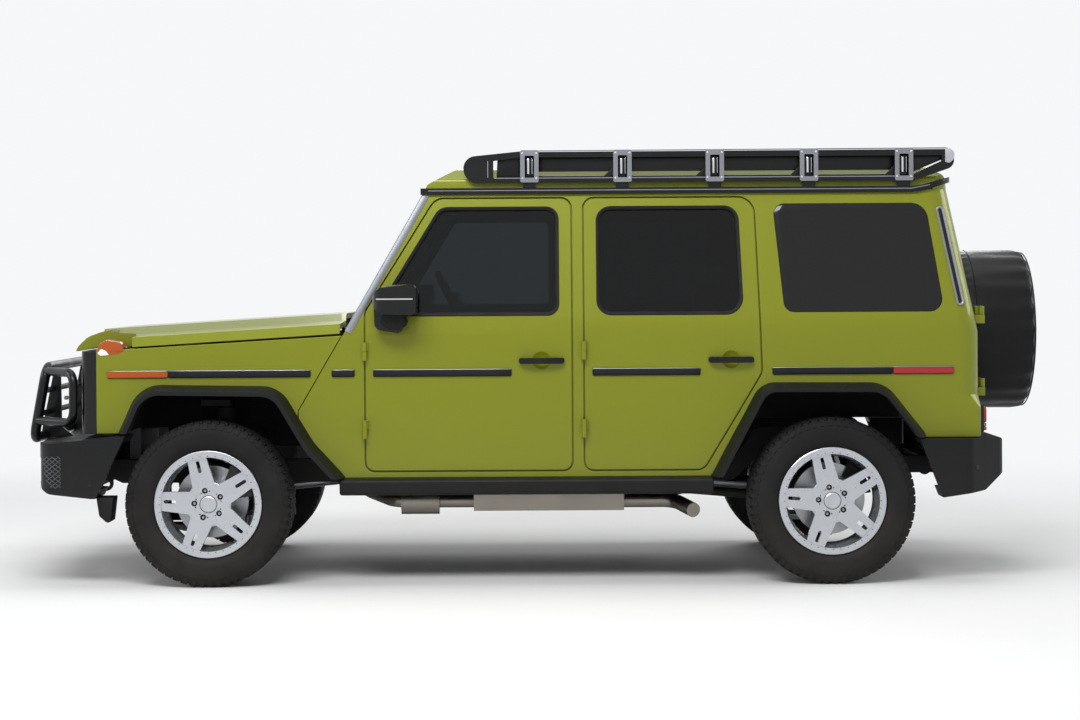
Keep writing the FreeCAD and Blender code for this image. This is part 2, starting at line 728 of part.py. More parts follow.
def spare_wheel():
    """The covered spare wheel and the plate and post that carry it on the tailgate."""
    depth = SPARE_FRONT - SPARE_BACK
    shape = turned([(0, 0), (0, 195, 970), (SPARE_DOME, SPARE_R - 8, 34), (depth, SPARE_R, 62), (depth, 0)])
    shape.rotate(Vector(0, 0, 0), Vector(0, 0, 1), -90)
    shape.translate(Vector(SPARE_BACK, 0, SPARE_Z))
    post = rod((SPARE_FRONT - 30, 0, SPARE_Z), (BODY_REAR - SEAT_FIT, 0, SPARE_Z), 75)
    plate = block(BODY_REAR - 22, BODY_REAR - SEAT_FIT, -170, 170, SPARE_Z - 210, BELT_Z - 2)
    return fuse(shape, post, plate)


def front_fender():
    """The left front fender with the flat ledge that carries the turn signal."""
    silhouette = [
        (XF - 416 + SHUT_GAP / 2, AXLE_Z + 427),
        (XF - 621 + SHUT_GAP / 2, AXLE_Z + 776),
        (XF + 362, HOOD_SIDE_Z - SHUT_GAP / 2),
        (FENDER_FRONT, HOOD_SIDE_Z - SHUT_GAP / 2),
        (FENDER_FRONT, BUMPER_TOP_Z + SHUT_GAP),
        (XF - 416 + SHUT_GAP / 2, BUMPER_TOP_Z + SHUT_GAP),
    ]
    skin = side_wall(0, PANEL).common(side_prism(silhouette))
    ledge = block(XF + 362, FENDER_FRONT, 700, BODY_HALF - 10, HOOD_SIDE_Z - 22, HOOD_SIDE_Z - SHUT_GAP / 2)
    rail = side_wall(PANEL - 2, PANEL + 120).common(
        side_prism(
            [
                (XF - 560, AXLE_Z + 735),
                (XF - 560, AXLE_Z + 715),
                (FENDER_FRONT, HOOD_SIDE_Z - 60),
                (FENDER_FRONT, HOOD_SIDE_Z - 40),
            ]
        )
    )
    piece = skin.fuse(ledge).fuse(rail).cut(side_prism(FRONT_ARCH, grow=24))
    return piece.removeSplitter()


def arch_liner():
    """The left front wheel's liner, with the inner fender wall that closes the engine bay."""
    band = side_prism(FRONT_ARCH, 470, BODY_HALF - PANEL - 30, grow=24)
    band = band.cut(side_prism(FRONT_ARCH, 0, WIDE, grow=12))
    band = band.cut(block(XF - 900, XF + 900, 0, WIDE, 0, AXLE_Z + 240))
    wall = side_prism(FRONT_ARCH, 470, 482, grow=14).cut(block(XF - 900, XF + 900, 0, WIDE, 0, AXLE_Z + 240))
    rim = block(XF - 330, XF + 280, 470, 482, AXLE_Z + 500, AXLE_Z + 640)
    liner = fuse(band, wall, rim)
    liner = liner.cut(block(XF + 250, XF + 700, 0, WIDE, 0, BUMPER_TOP_Z + 14))
    tower = block(XF - 74, XF + 74, 0, 660, TOWER_Z - 34, TOWER_Z + 4)
    return liner.cut(tower)


def front_panel():
    """The black panel across the nose that holds the headlamps and the grille."""
    plan = two_sided_plan([(FENDER_FRONT + SEAT_FIT, BODY_HALF - 8), (PANEL_FRONT - 8, BODY_HALF - 34, 50), (PANEL_FRONT, 0)])
    piece = plan_prism(plan, BUMPER_TOP_Z + 6, AXLE_Z + 709)
    hollow = plan_prism(
        two_sided_plan([(FENDER_FRONT - 20, BODY_HALF - 40), (PANEL_FRONT - 42, BODY_HALF - 66, 30), (PANEL_FRONT - 34, 0)]),
        BUMPER_TOP_Z + 30,
        AXLE_Z + 690,
    )
    piece = piece.cut(hollow)
    piece = piece.cut(block(XF, FRONT_X, -395, 395, AXLE_Z + 400, AXLE_Z + 668))
    for y in (-LAMP_Y, LAMP_Y):
        piece = piece.cut(rod((XF + 400, y, LAMP_Z), (XF + 900, y, LAMP_Z), LAMP_R))
    return piece.removeSplitter()


LAMP_Y = 612.0
LAMP_Z = AXLE_Z + 570.0
LAMP_R = 104.0


def two_sided_plan(half):
    """A closed plan outline from (x, y) points on the left, listed from the rear forward to the middle."""
    return half + [(p[0], -p[1], *p[2:]) for p in reversed(half) if p[1]]


def lamps():
    """Headlamps with a domed lens, turn signals on the fender tops and tail lamps."""
    lens_radius = 320.0
    back, rim = FENDER_FRONT + 5, PANEL_FRONT - 22
    head = rod((back, LAMP_Y, LAMP_Z), (PANEL_FRONT, LAMP_Y, LAMP_Z), LAMP_R - SEAT_FIT)
    centre = rim + 16 - lens_radius
    head = head.common(Part.makeSphere(lens_radius, Vector(centre, LAMP_Y, LAMP_Z)))
    signal = side_prism(
        [
            (XF + 368, HOOD_SIDE_Z - 4),
            (XF + 372, AXLE_Z + 758, 14),
            (XF + 470, AXLE_Z + 752, 25),
            (XF + 500, HOOD_SIDE_Z - 4),
        ],
        718,
        BODY_HALF - 16,
    )
    tail = block(BODY_REAR - 34, BODY_REAR - SEAT_FIT, 712, BODY_HALF - 50, AXLE_Z + 315, AXLE_Z + 425)
    return both(head, signal, tail)


def grille():
    """Horizontal bars between a frame that fills the opening in the nose."""
    x_low, x_high = PANEL_FRONT - 32, PANEL_FRONT - 4
    frame = block(x_low, x_high, -394.7, 394.7, AXLE_Z + 400.3, AXLE_Z + 667.7)
    frame = frame.cut(block(x_low - 1, x_high + 1, -375, 375, AXLE_Z + 420, AXLE_Z + 648))
    for z in (457, 504, 551, 598):
        frame = frame.fuse(block(x_low, x_high, -378, 378, AXLE_Z + z, AXLE_Z + z + 26))
    return frame.removeSplitter()


def hood():
    """The hood with a raised middle, narrower at the front between the turn signals."""

    def wire(x, side_z, drop):
        inset = drop
        half = [
            (BODY_HALF - 4 - inset, side_z - (30 if drop else 0)),
            (BODY_HALF - 14 - inset, side_z + 46 - drop),
            (520, side_z + 56 - drop),
            (450, side_z + 90 - drop),
        ]
        return cross_wire(two_sided(half), x)

    front, back = XF + 560, COWL_X - 5
    rear_side = HOOD_SIDE_Z + HOOD_RISE + SHUT_GAP / 2 + HOOD_SWING
    front_side = HOOD_SIDE_Z + SHUT_GAP / 2 - 12
    outer = Part.makeLoft([wire(front, front_side, 0), wire(back, rear_side, 0)], True, True)
    inner = Part.makeLoft(
        [wire(front + 1, front_side, PANEL), wire(back - 1, rear_side, PANEL)], True, True
    )
    shell = outer.cut(inner)
    nose = side_prism(
        [
            (XF + 533, AXLE_Z + 760),
            (XF + 560, AXLE_Z + 786, 0),
            (XF + 582, AXLE_Z + 779, 25),
            (XF + 612, AXLE_Z + 762, 25),
            (XF + 624, AXLE_Z + 716),
            (XF + 596, AXLE_Z + 716),
            (XF + 588, AXLE_Z + 745),
            (XF + 533, AXLE_Z + 755),
        ],
        -690,
        690,
    )
    for y in (-1, 1):
        corner_cut = block(XF + 362 - SHUT_GAP / 2, XF + 700, *sorted((y * 700, y * WIDE)), 0, 3000)
        shell = shell.cut(corner_cut)
    lip = block(XF + 540, XF + 560, -690, 690, AXLE_Z + 735, AXLE_Z + 760)
    tip = block(COWL_X - 10, COWL_X + 16, -WIDE, WIDE, 0, 3000)
    barrels = []
    for side in (-1, 1):
        y_low, y_high = sorted((side * (HOOD_HINGE_Y - 34), side * HOOD_HINGE_Y))
        barrels.append(rod((HOOD_PIN_X, y_low, HOOD_PIN_Z), (HOOD_PIN_X, y_high, HOOD_PIN_Z), 10))
        barrels.append(block(HOOD_PIN_X - 6, HOOD_PIN_X + 60, y_low, y_high, HOOD_PIN_Z, HOOD_PIN_Z + 26))
    return fuse(shell.cut(tip), nose.fuse(lip), *barrels)


def bumper_corner_plan(x_rear, x_front, half, round_r):
    return [
        (x_rear, half - 6),
        (x_front - 60, half, round_r),
        (x_front, half - 260, 200),
        (x_front + 26, 0, 0),
        (x_front, -half + 260, 200),
        (x_front - 60, -half, round_r),
        (x_rear, -half + 6),
    ]


def front_bumper(solid=False):
    profile = [
        (XF + 380, BUMPER_TOP_Z + 2),
        (XF + 560, BUMPER_TOP_Z - 14, 200),
        (XF + 830, AXLE_Z + 276, 30),
        (XF + 856, AXLE_Z + 256),
        (XF + 856, AXLE_Z + 122),
        (XF + 739, AXLE_Z + 53, 40),
        (XF + 540, AXLE_Z + 30),
        (XF + 518, AXLE_Z + 30),
    ]
    plan = bumper_corner_plan(XF + 370, XF + 824, FLARE_HALF - 12, 90)
    body = side_prism(profile).common(plan_prism(plan, 0, 1000))
    if solid:
        return body
    hollow_plan = bumper_corner_plan(XF + 300, XF + 786, FLARE_HALF - 60, 70)
    hollow_profile = [
        (XF + 300, AXLE_Z + 292),
        (XF + 820, AXLE_Z + 248),
        (XF + 820, AXLE_Z + 132),
        (XF + 700, AXLE_Z + 78),
        (XF + 300, AXLE_Z + 60),
    ]
    hollow = side_prism(hollow_profile).common(plan_prism(hollow_plan, 0, 1000))
    body = body.cut(hollow)
    body = body.cut(block(XF + 300, XF + 605, -700, 700, 0, 1000))
    body = body.cut(block(XF + 700, XF + 900, -330, 330, AXLE_Z + 96, AXLE_Z + 210))
    for side in (-1, 1):
        y_low, y_high = sorted((side * 520, side * 850))
        body = body.cut(block(XF + 690, XF + 900, y_low, y_high, AXLE_Z + 96, AXLE_Z + 210))
        y_low, y_high = sorted((side * 370, side * 430))
        body = body.fuse(block(XF + 740, XF + 805, y_low, y_high, AXLE_Z + 105, AXLE_Z + 165))
    return body.removeSplitter()


def rear_bumper():
    profile = [
        (XR - 405, AXLE_Z + 285),
        (XR - 812, AXLE_Z + 285, 25),
        (XR - 812, AXLE_Z + 122),
        (XR - 716, AXLE_Z + 44, 30),
        (XR - 511, AXLE_Z + 14),
    ]
    plan = [
        (XR - 400, FLARE_HALF - 22),
        (XR - 640, FLARE_HALF - 22, 60),
        (XR - 812, FLARE_HALF - 150, 60),
        (XR - 812, -FLARE_HALF + 150, 60),
        (XR - 640, -FLARE_HALF + 22, 60),
        (XR - 400, -FLARE_HALF + 22),
    ]
    body = side_prism(profile).common(plan_prism(plan, 0, 1000))
    inner_plan = [
        (XR - 300, FLARE_HALF - 56),
        (XR - 630, FLARE_HALF - 56, 40),
        (XR - 778, FLARE_HALF - 170, 40),
        (XR - 778, -FLARE_HALF + 170, 40),
        (XR - 630, -FLARE_HALF + 56, 40),
        (XR - 300, -FLARE_HALF + 56),
    ]
    hollow = plan_prism(inner_plan, AXLE_Z + 60, AXLE_Z + 261)
    body = body.cut(hollow).cut(block(XR - 688, XR - 300, -790, 790, 0, 1000))
    for side in (-1, 1):
        y_low, y_high = sorted((side * 370, side * 430))
        body = body.fuse(block(XR - 785, XR - 770, y_low, y_high, AXLE_Z + 100, AXLE_Z + 160))
    return body.removeSplitter()


GUARD_LOW = AXLE_Z + 290.0  # middle lines of the guard's lowest and highest tubes
GUARD_HIGH = AXLE_Z + 628.0
GUARD_HALF = 600.0


def guard_x(z):
    """The guard's plane leans back towards its top."""
    return FRONT_X - TUBE - (z - GUARD_LOW) * 0.18


def brush_guard():
    """A wide hoop of tube before the nose, cross bars, a loop round each lamp and two upright flats."""

    def half_hoop(end, z):
        legs = [(guard_x(end), side * GUARD_HALF, end) for side in (-1, 1)]
        return pipe([legs[0], (guard_x(z), -GUARD_HALF, z, 62), (guard_x(z), GUARD_HALF, z, 62), legs[1]], TUBE)

    middle = (GUARD_LOW + GUARD_HIGH) / 2
    pieces = [half_hoop(middle, GUARD_HIGH), half_hoop(middle, GUARD_LOW)]
    for z in (AXLE_Z + 405.0, AXLE_Z + 515.0):
        pieces.append(rod((guard_x(z), -GUARD_HALF, z), (guard_x(z), GUARD_HALF, z), 14))
    top, bottom = GUARD_HIGH - 20, GUARD_LOW + 84
    loop_x, loop_y = XF + 642, 815
    for side in (-1, 1):
        loop = pipe(
            [
                (guard_x(top), side * (GUARD_HALF - 14), top),
                (loop_x, side * loop_y, top, 58),
                (loop_x, side * loop_y, bottom, 58),
                (guard_x(bottom), side * GUARD_HALF, bottom),
            ],
            TUBE - 3,
        )
        pieces.append(loop)
        flat = side_prism(
            [
                (XF + 700, AXLE_Z + 262),
                (XF + 790, AXLE_Z + 330, 20),
                (guard_x(GUARD_HIGH) - 16, GUARD_HIGH - 60),
                (guard_x(GUARD_HIGH) - 12, GUARD_HIGH),
                (guard_x(GUARD_HIGH) + 12, GUARD_HIGH),
                (guard_x(GUARD_LOW) + 20, GUARD_LOW),
                (guard_x(GUARD_LOW) + 20, AXLE_Z + 262),
            ],
            *sorted((side * 332, side * 348)),
        )
        pieces.append(flat)
    under = front_bumper(solid=True)
    under.translate(Vector(0, 0, SEAT_FIT))
    return fuse(*pieces).cut(under)


def arch_band(arch, outer_grow):
    """A flare on the left: a band outside the arch's edge, bevelled towards the wheel."""
    wide = side_face(arch, BODY_HALF - 6, grow=outer_grow).OuterWire
    narrow = side_face(arch, FLARE_HALF, grow=outer_grow - 26).OuterWire
    band = Part.makeLoft([wide, narrow], True, True)
    return band.cut(side_prism(arch))


def front_flare():
    band = arch_band(FRONT_ARCH, 48)
    keep = [
        (XF + 430, BUMPER_TOP_Z + 12),
        (XF + 430, 1100),
        (XF - 700, 1100),
        (XF - 700, SILL_Z),
        (XF, SILL_Z),
        (XF, BUMPER_TOP_Z + 12),
    ]
    return band.common(side_prism(keep)).cut(side_wall(-SEAT_FIT, 500))


def rear_flare():
    band = arch_band(REAR_ARCH, 44)
    keep = [
        (XR + 700, SILL_Z),
        (XR + 700, 1100),
        (XR - 470, 1100),
        (XR - 470, AXLE_Z + 292),
        (XR, AXLE_Z + 292),
        (XR, SILL_Z),
    ]
    return band.common(side_prism(keep)).cut(side_wall(-SEAT_FIT, 500))


def sill_cover():
    """The black cover under the sill between the two left wheels."""
    section = [
        (BODY_HALF - 60, SILL_Z - 88),
        (BODY_HALF + 30, SILL_Z - 78, 20),
        (BODY_HALF + 40, SILL_Z - 12, 12),
        (BODY_HALF - 6, SILL_Z - 0.0),
        (BODY_HALF - 60, SILL_Z),
    ]
    return cross_prism(section, XR + 548, XF - 606)


RACK_Y = ROOF_HALF + 14.0
RACK_POSTS = (XF - 1495.0, XF - 1931.0, XF - 2363.0, XF - 2804.0, XF - 3249.0)
RACK_LOW = AXLE_Z + 1493.0
RACK_HIGH = AXLE_Z + 1636.0


RACK_NOSE = XF - 1188.0
RACK_TAIL = XF - 3484.0
POST_HALF = 43.0


def rack_side():
    """The left side frame: a rounded cap at each end, an upper and a lower rail, and slotted posts."""
    frame = [
        (RACK_NOSE, RACK_LOW - 8, 66),
        (RACK_NOSE + 4, RACK_HIGH - 30, 58),
        (RACK_POSTS[0] + 10, RACK_HIGH, 120),
        (RACK_TAIL, RACK_HIGH + 4, 44),
        (RACK_TAIL, RACK_HIGH - 86, 44),
        (XF - 3290, RACK_LOW - 8, 60),
    ]
    piece = side_prism(frame, RACK_Y - 12, RACK_Y + 12)
    rail_low, rail_high = RACK_LOW + 16, RACK_HIGH - 32
    edges = (RACK_NOSE - 138, *RACK_POSTS)
    for ahead, behind in zip(edges, RACK_POSTS):
        start = ahead - (POST_HALF - 4 if ahead in RACK_POSTS else 0)
        end = behind + POST_HALF - 4
        drop = 0 if ahead in RACK_POSTS else 16
        gap = [(start, rail_low), (start, rail_high - drop), (end, rail_high), (end, rail_low)]
        piece = piece.cut(side_prism(gap))
    last = RACK_POSTS[-1] - POST_HALF + 4
    cap = RACK_TAIL + 58
    piece = piece.cut(side_prism([(last, rail_low + 6), (last, rail_high), (cap, rail_high), (cap, RACK_HIGH - 58)]))
    for x in RACK_POSTS:
        post = [(x - POST_HALF, RACK_LOW - 6, 9), (x - POST_HALF, RACK_HIGH + 2, 9), (x + POST_HALF, RACK_HIGH + 2, 9),
                (x + POST_HALF, RACK_LOW - 6, 9)]
        slot = [(x - 22, RACK_LOW + 14, 5), (x - 22, RACK_HIGH - 24, 5), (x + 22, RACK_HIGH - 24, 5), (x + 22, RACK_LOW + 14, 5)]
        piece = piece.fuse(side_prism(post, RACK_Y - 17, RACK_Y + 17)).cut(side_prism(slot))
        piece = piece.fuse(block(x - 30, x + 30, RACK_Y - 6, RACK_Y + 6, rack_foot(x), RACK_LOW))
    return piece


def roof_rack():
    """Two side frames on feet that stand on the gutters, joined by cross bars just above the roof."""
    pieces = [rack_side(), mirrored(rack_side())]
    end = RACK_Y - 14
    for x in RACK_POSTS:
        pieces.append(block(x - 24, x + 24, -end, end, ROOF_Z + 10, ROOF_Z + 30))
        for side in (-1, 1):
            brace = cross_prism(
                [
                    (side * end, RACK_LOW + 32),
                    (side * (end - 22), RACK_LOW + 32),
                    (side * (end - 90), ROOF_Z + 14),
                    (side * (end - 90), ROOF_Z + 28),
                    (side * end, ROOF_Z + 28),
                ],
                x - 8,
                x + 8,
            )
            pieces.append(brace)
    for y in RACK_SLATS:
        pieces.append(block(RACK_POSTS[-1], RACK_POSTS[0], y - 22, y + 22, ROOF_Z + 26, ROOF_Z + 40))
    return fuse(*pieces)


RACK_SLATS = (-396.0, -132.0, 132.0, 396.0)


def rack_foot(x):
    """The height of the gutter's top edge where a post stands."""
    bend = ROOF_REAR + 150
    rise = GUTTER_RISE * max(0.0, bend - x) / 170.0
    return GUTTER_Z + 17 + rise


# ---------------------------------------------------------------- cabin
def dashboard():
    profile = [
        (COWL_X - 40 - SEAT_FIT, AXLE_Z + 560),
        (COWL_X - 70, AXLE_Z + 770, 40),
        (COWL_X - 210, AXLE_Z + 800, 60),
        (COWL_X - 300, AXLE_Z + 760, 40),
        (COWL_X - 290, AXLE_Z + 600, 60),
        (COWL_X - 200, AXLE_Z + 520, 40),
    ]
    body = side_prism(profile, -740, 740)
    hub = Vector(XF - 1130, STEER_Y, AXLE_Z + 903)
    console = block(COWL_X - 950, COWL_X - 150, -105, 105, FLOOR_Z + 150, FLOOR_Z + 290)
    stack = block(COWL_X - 285, COWL_X - 150, -105, 105, FLOOR_Z + 270, AXLE_Z + 620)
    column = Part.makeCylinder(32, 230, hub + COLUMN * (MOVE_GAP + 42), COLUMN)
    spindle = Part.makeCylinder(12, 120, hub + COLUMN * 20, COLUMN)
    return fuse(body, console, stack, column, spindle)


STEER_Y = 375.0
COLUMN_TILT = math.radians(28.0)
COLUMN = Vector(math.cos(COLUMN_TILT), 0, -math.sin(COLUMN_TILT))
WHEEL_R = 178.0


def steering_wheel():
    """Rim, three spokes and hub, turning on the column's spindle."""
    rim = Part.makeTorus(WHEEL_R, 15, Vector(0, 0, 0), Vector(0, 0, 1))
    hub = Part.makeCylinder(62, 42, Vector(0, 0, -22), Vector(0, 0, 1))
    spokes = [block(-WHEEL_R, WHEEL_R, -18, 18, -12, 6), block(-18, 18, -WHEEL_R, 0, -12, 6)]
    wheel = fuse(rim, hub, *spokes)
    wheel = wheel.cut(Part.makeCylinder(12 + RUN_FIT, 90, Vector(0, 0, -8), Vector(0, 0, 1)))
    turn = FreeCAD.Rotation(Vector(0, 0, 1), COLUMN)
    wheel.Placement = FreeCAD.Placement(Vector(XF - 1130, STEER_Y, AXLE_Z + 903), turn)
    return wheel


def seat(x_back, y, width, back_top, rise=0.0):
    """The cushion on its base and the backrest with its headrest, with x_back at the rear of the cushion."""
    base_z = FLOOR_Z + rise
    base = block(x_back + 40, x_back + 440, y - width / 2 + 60, y + width / 2 - 60, base_z, base_z + 190)
    cushion = side_prism(
        [
            (x_back, base_z + 190, 20),
            (x_back + 500, base_z + 190, 30),
            (x_back + 500, base_z + 310, 50),
            (x_back, base_z + 280, 20),
        ],
        y - width / 2,
        y + width / 2,
    )
    top = back_top
    back = side_prism(
        [
            (x_back - 30, base_z + 230, 30),
            (x_back + 110, base_z + 260, 40),
            (x_back - 30, top, 50),
            (x_back - 150, top, 50),
        ],
        y - width / 2,
        y + width / 2,
    )
    head = side_prism(
        [
            (x_back - 130, top + 40, 40),
            (x_back - 30, top + 40, 40),
            (x_back - 50, top + 200, 40),
            (x_back - 145, top + 200, 40),
        ],
        y - 130,
        y + 130,
    )
    posts = [rod((x_back - 88, y + side * 60, top - 60), (x_back - 88, y + side * 60, top + 70), 7) for side in (-1, 1)]
    return fuse(base, cushion).cut(back), fuse(back, head, *posts)


def front_seats():
    return both(Part.makeCompound(seat(XF - 1700, STEER_Y, 500, AXLE_Z + 1050)))


REAR_SEAT_X = XF - 2350.0


def rear_seat():
    bench, backrest = seat(REAR_SEAT_X, 0, 1240, AXLE_Z + 1035)
    heads = []
    for y in (-400, 400):
        block_top = side_prism(
            [
                (REAR_SEAT_X - 130, AXLE_Z + 1075, 40),
                (REAR_SEAT_X - 30, AXLE_Z + 1075, 40),
                (REAR_SEAT_X - 50, AXLE_Z + 1235, 40),
                (REAR_SEAT_X - 145, AXLE_Z + 1235, 40),
            ],
            y - 130,
            y + 130,
        )
        heads.append(block_top)
        for side in (-60, 60):
            heads.append(rod((REAR_SEAT_X - 88, y + side, AXLE_Z + 980), (REAR_SEAT_X - 88, y + side, AXLE_Z + 1100), 7))
    return Part.makeCompound([bench, fuse(backrest, *heads)])


# ---------------------------------------------------------------- chassis
RAIL_Y = 400.0
RAIL_Z = AXLE_Z + 60.0  # underside of the rails
RAIL_H = 110.0
RAIL_W = 70.0
TOWER_Z = AXLE_Z + 470.0
TOW_EYE_R = 18.0
TOW_EYE_HALF = 9.0
TOW_EYE_AHEAD = 565.0  # from the nearest axle
TOW_EYE_BEHIND = 640.0


JACK_PAD_R = 38.0
JACK_PAD_DROP = 14.0
ARM_SPREAD = 225.0
CROSS_MEMBERS = (  # middle along X, width, bottom, top
    (XF + 695, 88, RAIL_Z + 45, RAIL_Z + 105),
    (XF - 1400, 70, RAIL_Z + 72, RAIL_Z + 108),
    (XR + 560, 80, RAIL_Z + 50, RAIL_Z + 105),
    (XR - 560, 80, RAIL_Z + 45, RAIL_Z + 95),
    (XR - 740, 60, RAIL_Z + 45, RAIL_Z + 95),
)


def frame_rail():
    """The left box rail with its spring towers, jack pad and the brackets that carry the body."""
    near, far = RAIL_Y - RAIL_W / 2, RAIL_Y + RAIL_W / 2
    low, high = RAIL_Z, RAIL_Z + RAIL_H
    line = [
        (XF + 480, low),
        (XF + 560, low + 38),
        (XF + 740, low + 38),
        (XF + 740, high),
        (XR + 412, high, 60),
        (XR + 300, high + 145, 60),
        (XR - 270, high + 145, 60),
        (XR - 400, high, 60),
        (XR - 770, high),
        (XR - 770, low + 30),
        (XR - 380, low + 30, 60),
        (XR - 240, high + 35, 60),
        (XR + 260, high + 35, 60),
        (XR + 420, low, 60),
    ]
    pieces = [side_prism(line, near, far)]
    for dx in (-ARM_SPREAD, ARM_SPREAD):
        for ear_x in (-45, 31):
            start = XF + dx + ear_x
            pieces.append(block(start, start + 14, near - 15, RAIL_Y + 10, AXLE_Z - 175, low + 5))
    for x in (XF - 760, XF - 1700, XR + 620):
        pieces.append(block(x - 35, x + 35, far - 5, 760, high - 60, high))
        pieces.append(block(x - 35, x + 35, 700, 760, high - 5, FLOOR_Z - PAN))
    pieces.append(block(XR - 600, XR - 540, far - 5, 500, high - 50, high))
    pieces.append(block(XR - 600, XR - 540, 450, 500, high - 10, LOAD_FLOOR_Z - PAN))
    pieces.append(block(XF - 70, XF + 70, far - 5, 462, high - 40, TOWER_Z))
    pieces.append(block(XF - 70, XF + 70, 440, 640, TOWER_Z - 30, TOWER_Z))
    pieces.append(block(XR - 65, XR + 65, far - 5, 615, high + 95, high + 145))
    pieces.append(rod((XF - 600, RAIL_Y, low - JACK_PAD_DROP), (XF - 600, RAIL_Y, low + 4), JACK_PAD_R))
    bores = []
    for x, rail_low in ((XF + TOW_EYE_AHEAD, low + 38), (XR - TOW_EYE_BEHIND, low + 30)):
        eye_z = rail_low - 44
        one, two = RAIL_Y - TOW_EYE_HALF, RAIL_Y + TOW_EYE_HALF
        pieces.append(rod((x, one, eye_z), (x, two, eye_z), 34))
        pieces.append(block(x - 34, x + 34, one, two, eye_z, rail_low + 4))
        bores.append(rod((x, one - 5, eye_z), (x, two + 5, eye_z), TOW_EYE_R))
    return fuse(*pieces).cut(bores)


def cross_members():
    """What holds the two rails apart: plain members, the dropped one and the front arm beams."""
    near = RAIL_Y - RAIL_W / 2
    members = [
        block(x - width / 2, x + width / 2, -near, near, z_low, z_high)
        for x, width, z_low, z_high in CROSS_MEMBERS
    ]
    outer = RAIL_Y + RAIL_W / 2 - 10
    dropped = block(XF - 935, XF - 865, -outer, outer, RAIL_Z - 80, RAIL_Z)
    members.append(dropped.cut(block(XF - 940, XF - 860, -250, 250, RAIL_Z - 35, RAIL_Z + RAIL_H)))
    for dx in (-ARM_SPREAD, ARM_SPREAD):
        x = XF + dx
        members.append(block(x - 45, x + 45, 15 - near, near - 15, AXLE_Z - 130, AXLE_Z - 80))
    return Part.makeCompound(members)


def engine_and_gearbox():
    """The engine, gearbox and transfer case, each as one plain block, with the radiator ahead of them."""
    engine = block(XF - 330, XF + 330, -260, 260, RAIL_Z + 70, AXLE_Z + 640)
    gearbox = rod((XF - 325, 0, AXLE_Z + 205), (XF - 880, 0, AXLE_Z + 190), 105)
    transfer = block(XF - 1320, XF - 865, -150, 150, AXLE_Z + 35, AXLE_Z + 165)
    neck = rod((XF - 875, 0, AXLE_Z + 180), (XF - 1200, 0, AXLE_Z + 180), 80)
    inner = RAIL_Y - RAIL_W / 2
    feet = block(XF - 30, XF + 30, -inner, inner, RAIL_Z + 60, RAIL_Z + 105)
    radiator = block(XF + 400, XF + 455, -inner, inner, RAIL_Z + 50, AXLE_Z + 640)
    joint = block(XF + 320, XF + 410, -60, 60, AXLE_Z + 300, AXLE_Z + 360)
    return fuse(engine, gearbox, transfer, neck, feet, radiator, joint)


def front_differential():
    """Housing under the engine, held by a beam at each side, with a half shaft to each hub."""
    housing = Part.makeSphere(105, Vector(XF, -60, AXLE_Z))
    tube = rod((XF, -250, AXLE_Z), (XF, 250, AXLE_Z), 52)
    nose = rod((XF - 20, -60, AXLE_Z), (XF - 210, -60, AXLE_Z), 38)
    pieces = [housing, tube, nose]
    for side in (-1, 1):
        pieces.append(rod((XF, side * 245, AXLE_Z), (XF, side * KINGPIN_Y, AXLE_Z), SHAFT_R))
        pieces.append(Part.makeSphere(JOINT_R, Vector(XF, side * KINGPIN_Y, AXLE_Z)))
        pieces.append(Part.makeCone(52, 28, 90, Vector(XF, side * 248, AXLE_Z), Vector(0, side, 0)))
        y_low, y_high = side * 215 - 15, side * 215 + 15
        pieces.append(block(XF - 205, XF + 205, y_low, y_high, AXLE_Z - 20, AXLE_Z + 20))
        for x in (XF - 205, XF + 185):
            pieces.append(block(x, x + 20, y_low, y_high, AXLE_Z - 80 + SEAT_FIT, AXLE_Z + 15))
    return fuse(*pieces)


def front_suspension():
    """The left lower arm with its spring strut, and the left upper arm."""

    def arm(z, inner, spread, thick):
        plan = [
            (XF - spread - 24, inner),
            (XF - spread + 24, inner),
            (XF, KINGPIN_Y - 60, 10),
            (XF + spread - 24, inner),
            (XF + spread + 24, inner),
            (XF + 32, KINGPIN_Y + 16, 20),
            (XF - 32, KINGPIN_Y + 16, 20),
        ]
        return plan_prism(plan, z - thick / 2, z + thick / 2)

    low_z, high_z = AXLE_Z - 150, AXLE_Z + 165
    strut_x, strut_y = XF - 45, 565
    lower = arm(low_z, RAIL_Y + 12, ARM_SPREAD, 26)
    pivots = []
    for dx in (-ARM_SPREAD, ARM_SPREAD):
        pivots.append(rod((XF + dx - 30.5, RAIL_Y, low_z), (XF + dx + 30.5, RAIL_Y, low_z), 20))
        pivots.append(block(XF + dx - 24, XF + dx + 24, RAIL_Y, RAIL_Y + 20, low_z - 13, low_z + 13))
    bridge = block(XF - 90, XF + 90, 535, 600, low_z - 13, low_z + 13)
    ball = rod((XF, KINGPIN_Y, low_z), (XF, KINGPIN_Y, low_z + 40), 12)
    strut = rod((strut_x, strut_y, low_z), (strut_x, strut_y, TOWER_Z - 30 - SEAT_FIT), 24)
    spring = rod((strut_x, strut_y, AXLE_Z + 205), (strut_x, strut_y, TOWER_Z - 40), 50)
    upper = arm(high_z, RAIL_Y + RAIL_W / 2 + SEAT_FIT, 120, 20)
    upper = upper.cut(rod((strut_x, strut_y, low_z), (strut_x, strut_y, TOWER_Z), 32))
    upper_ball = rod((XF, KINGPIN_Y, high_z - 43), (XF, KINGPIN_Y, high_z), 12)
    return fuse(lower, bridge, ball, strut, spring, *pivots), fuse(upper, upper_ball)


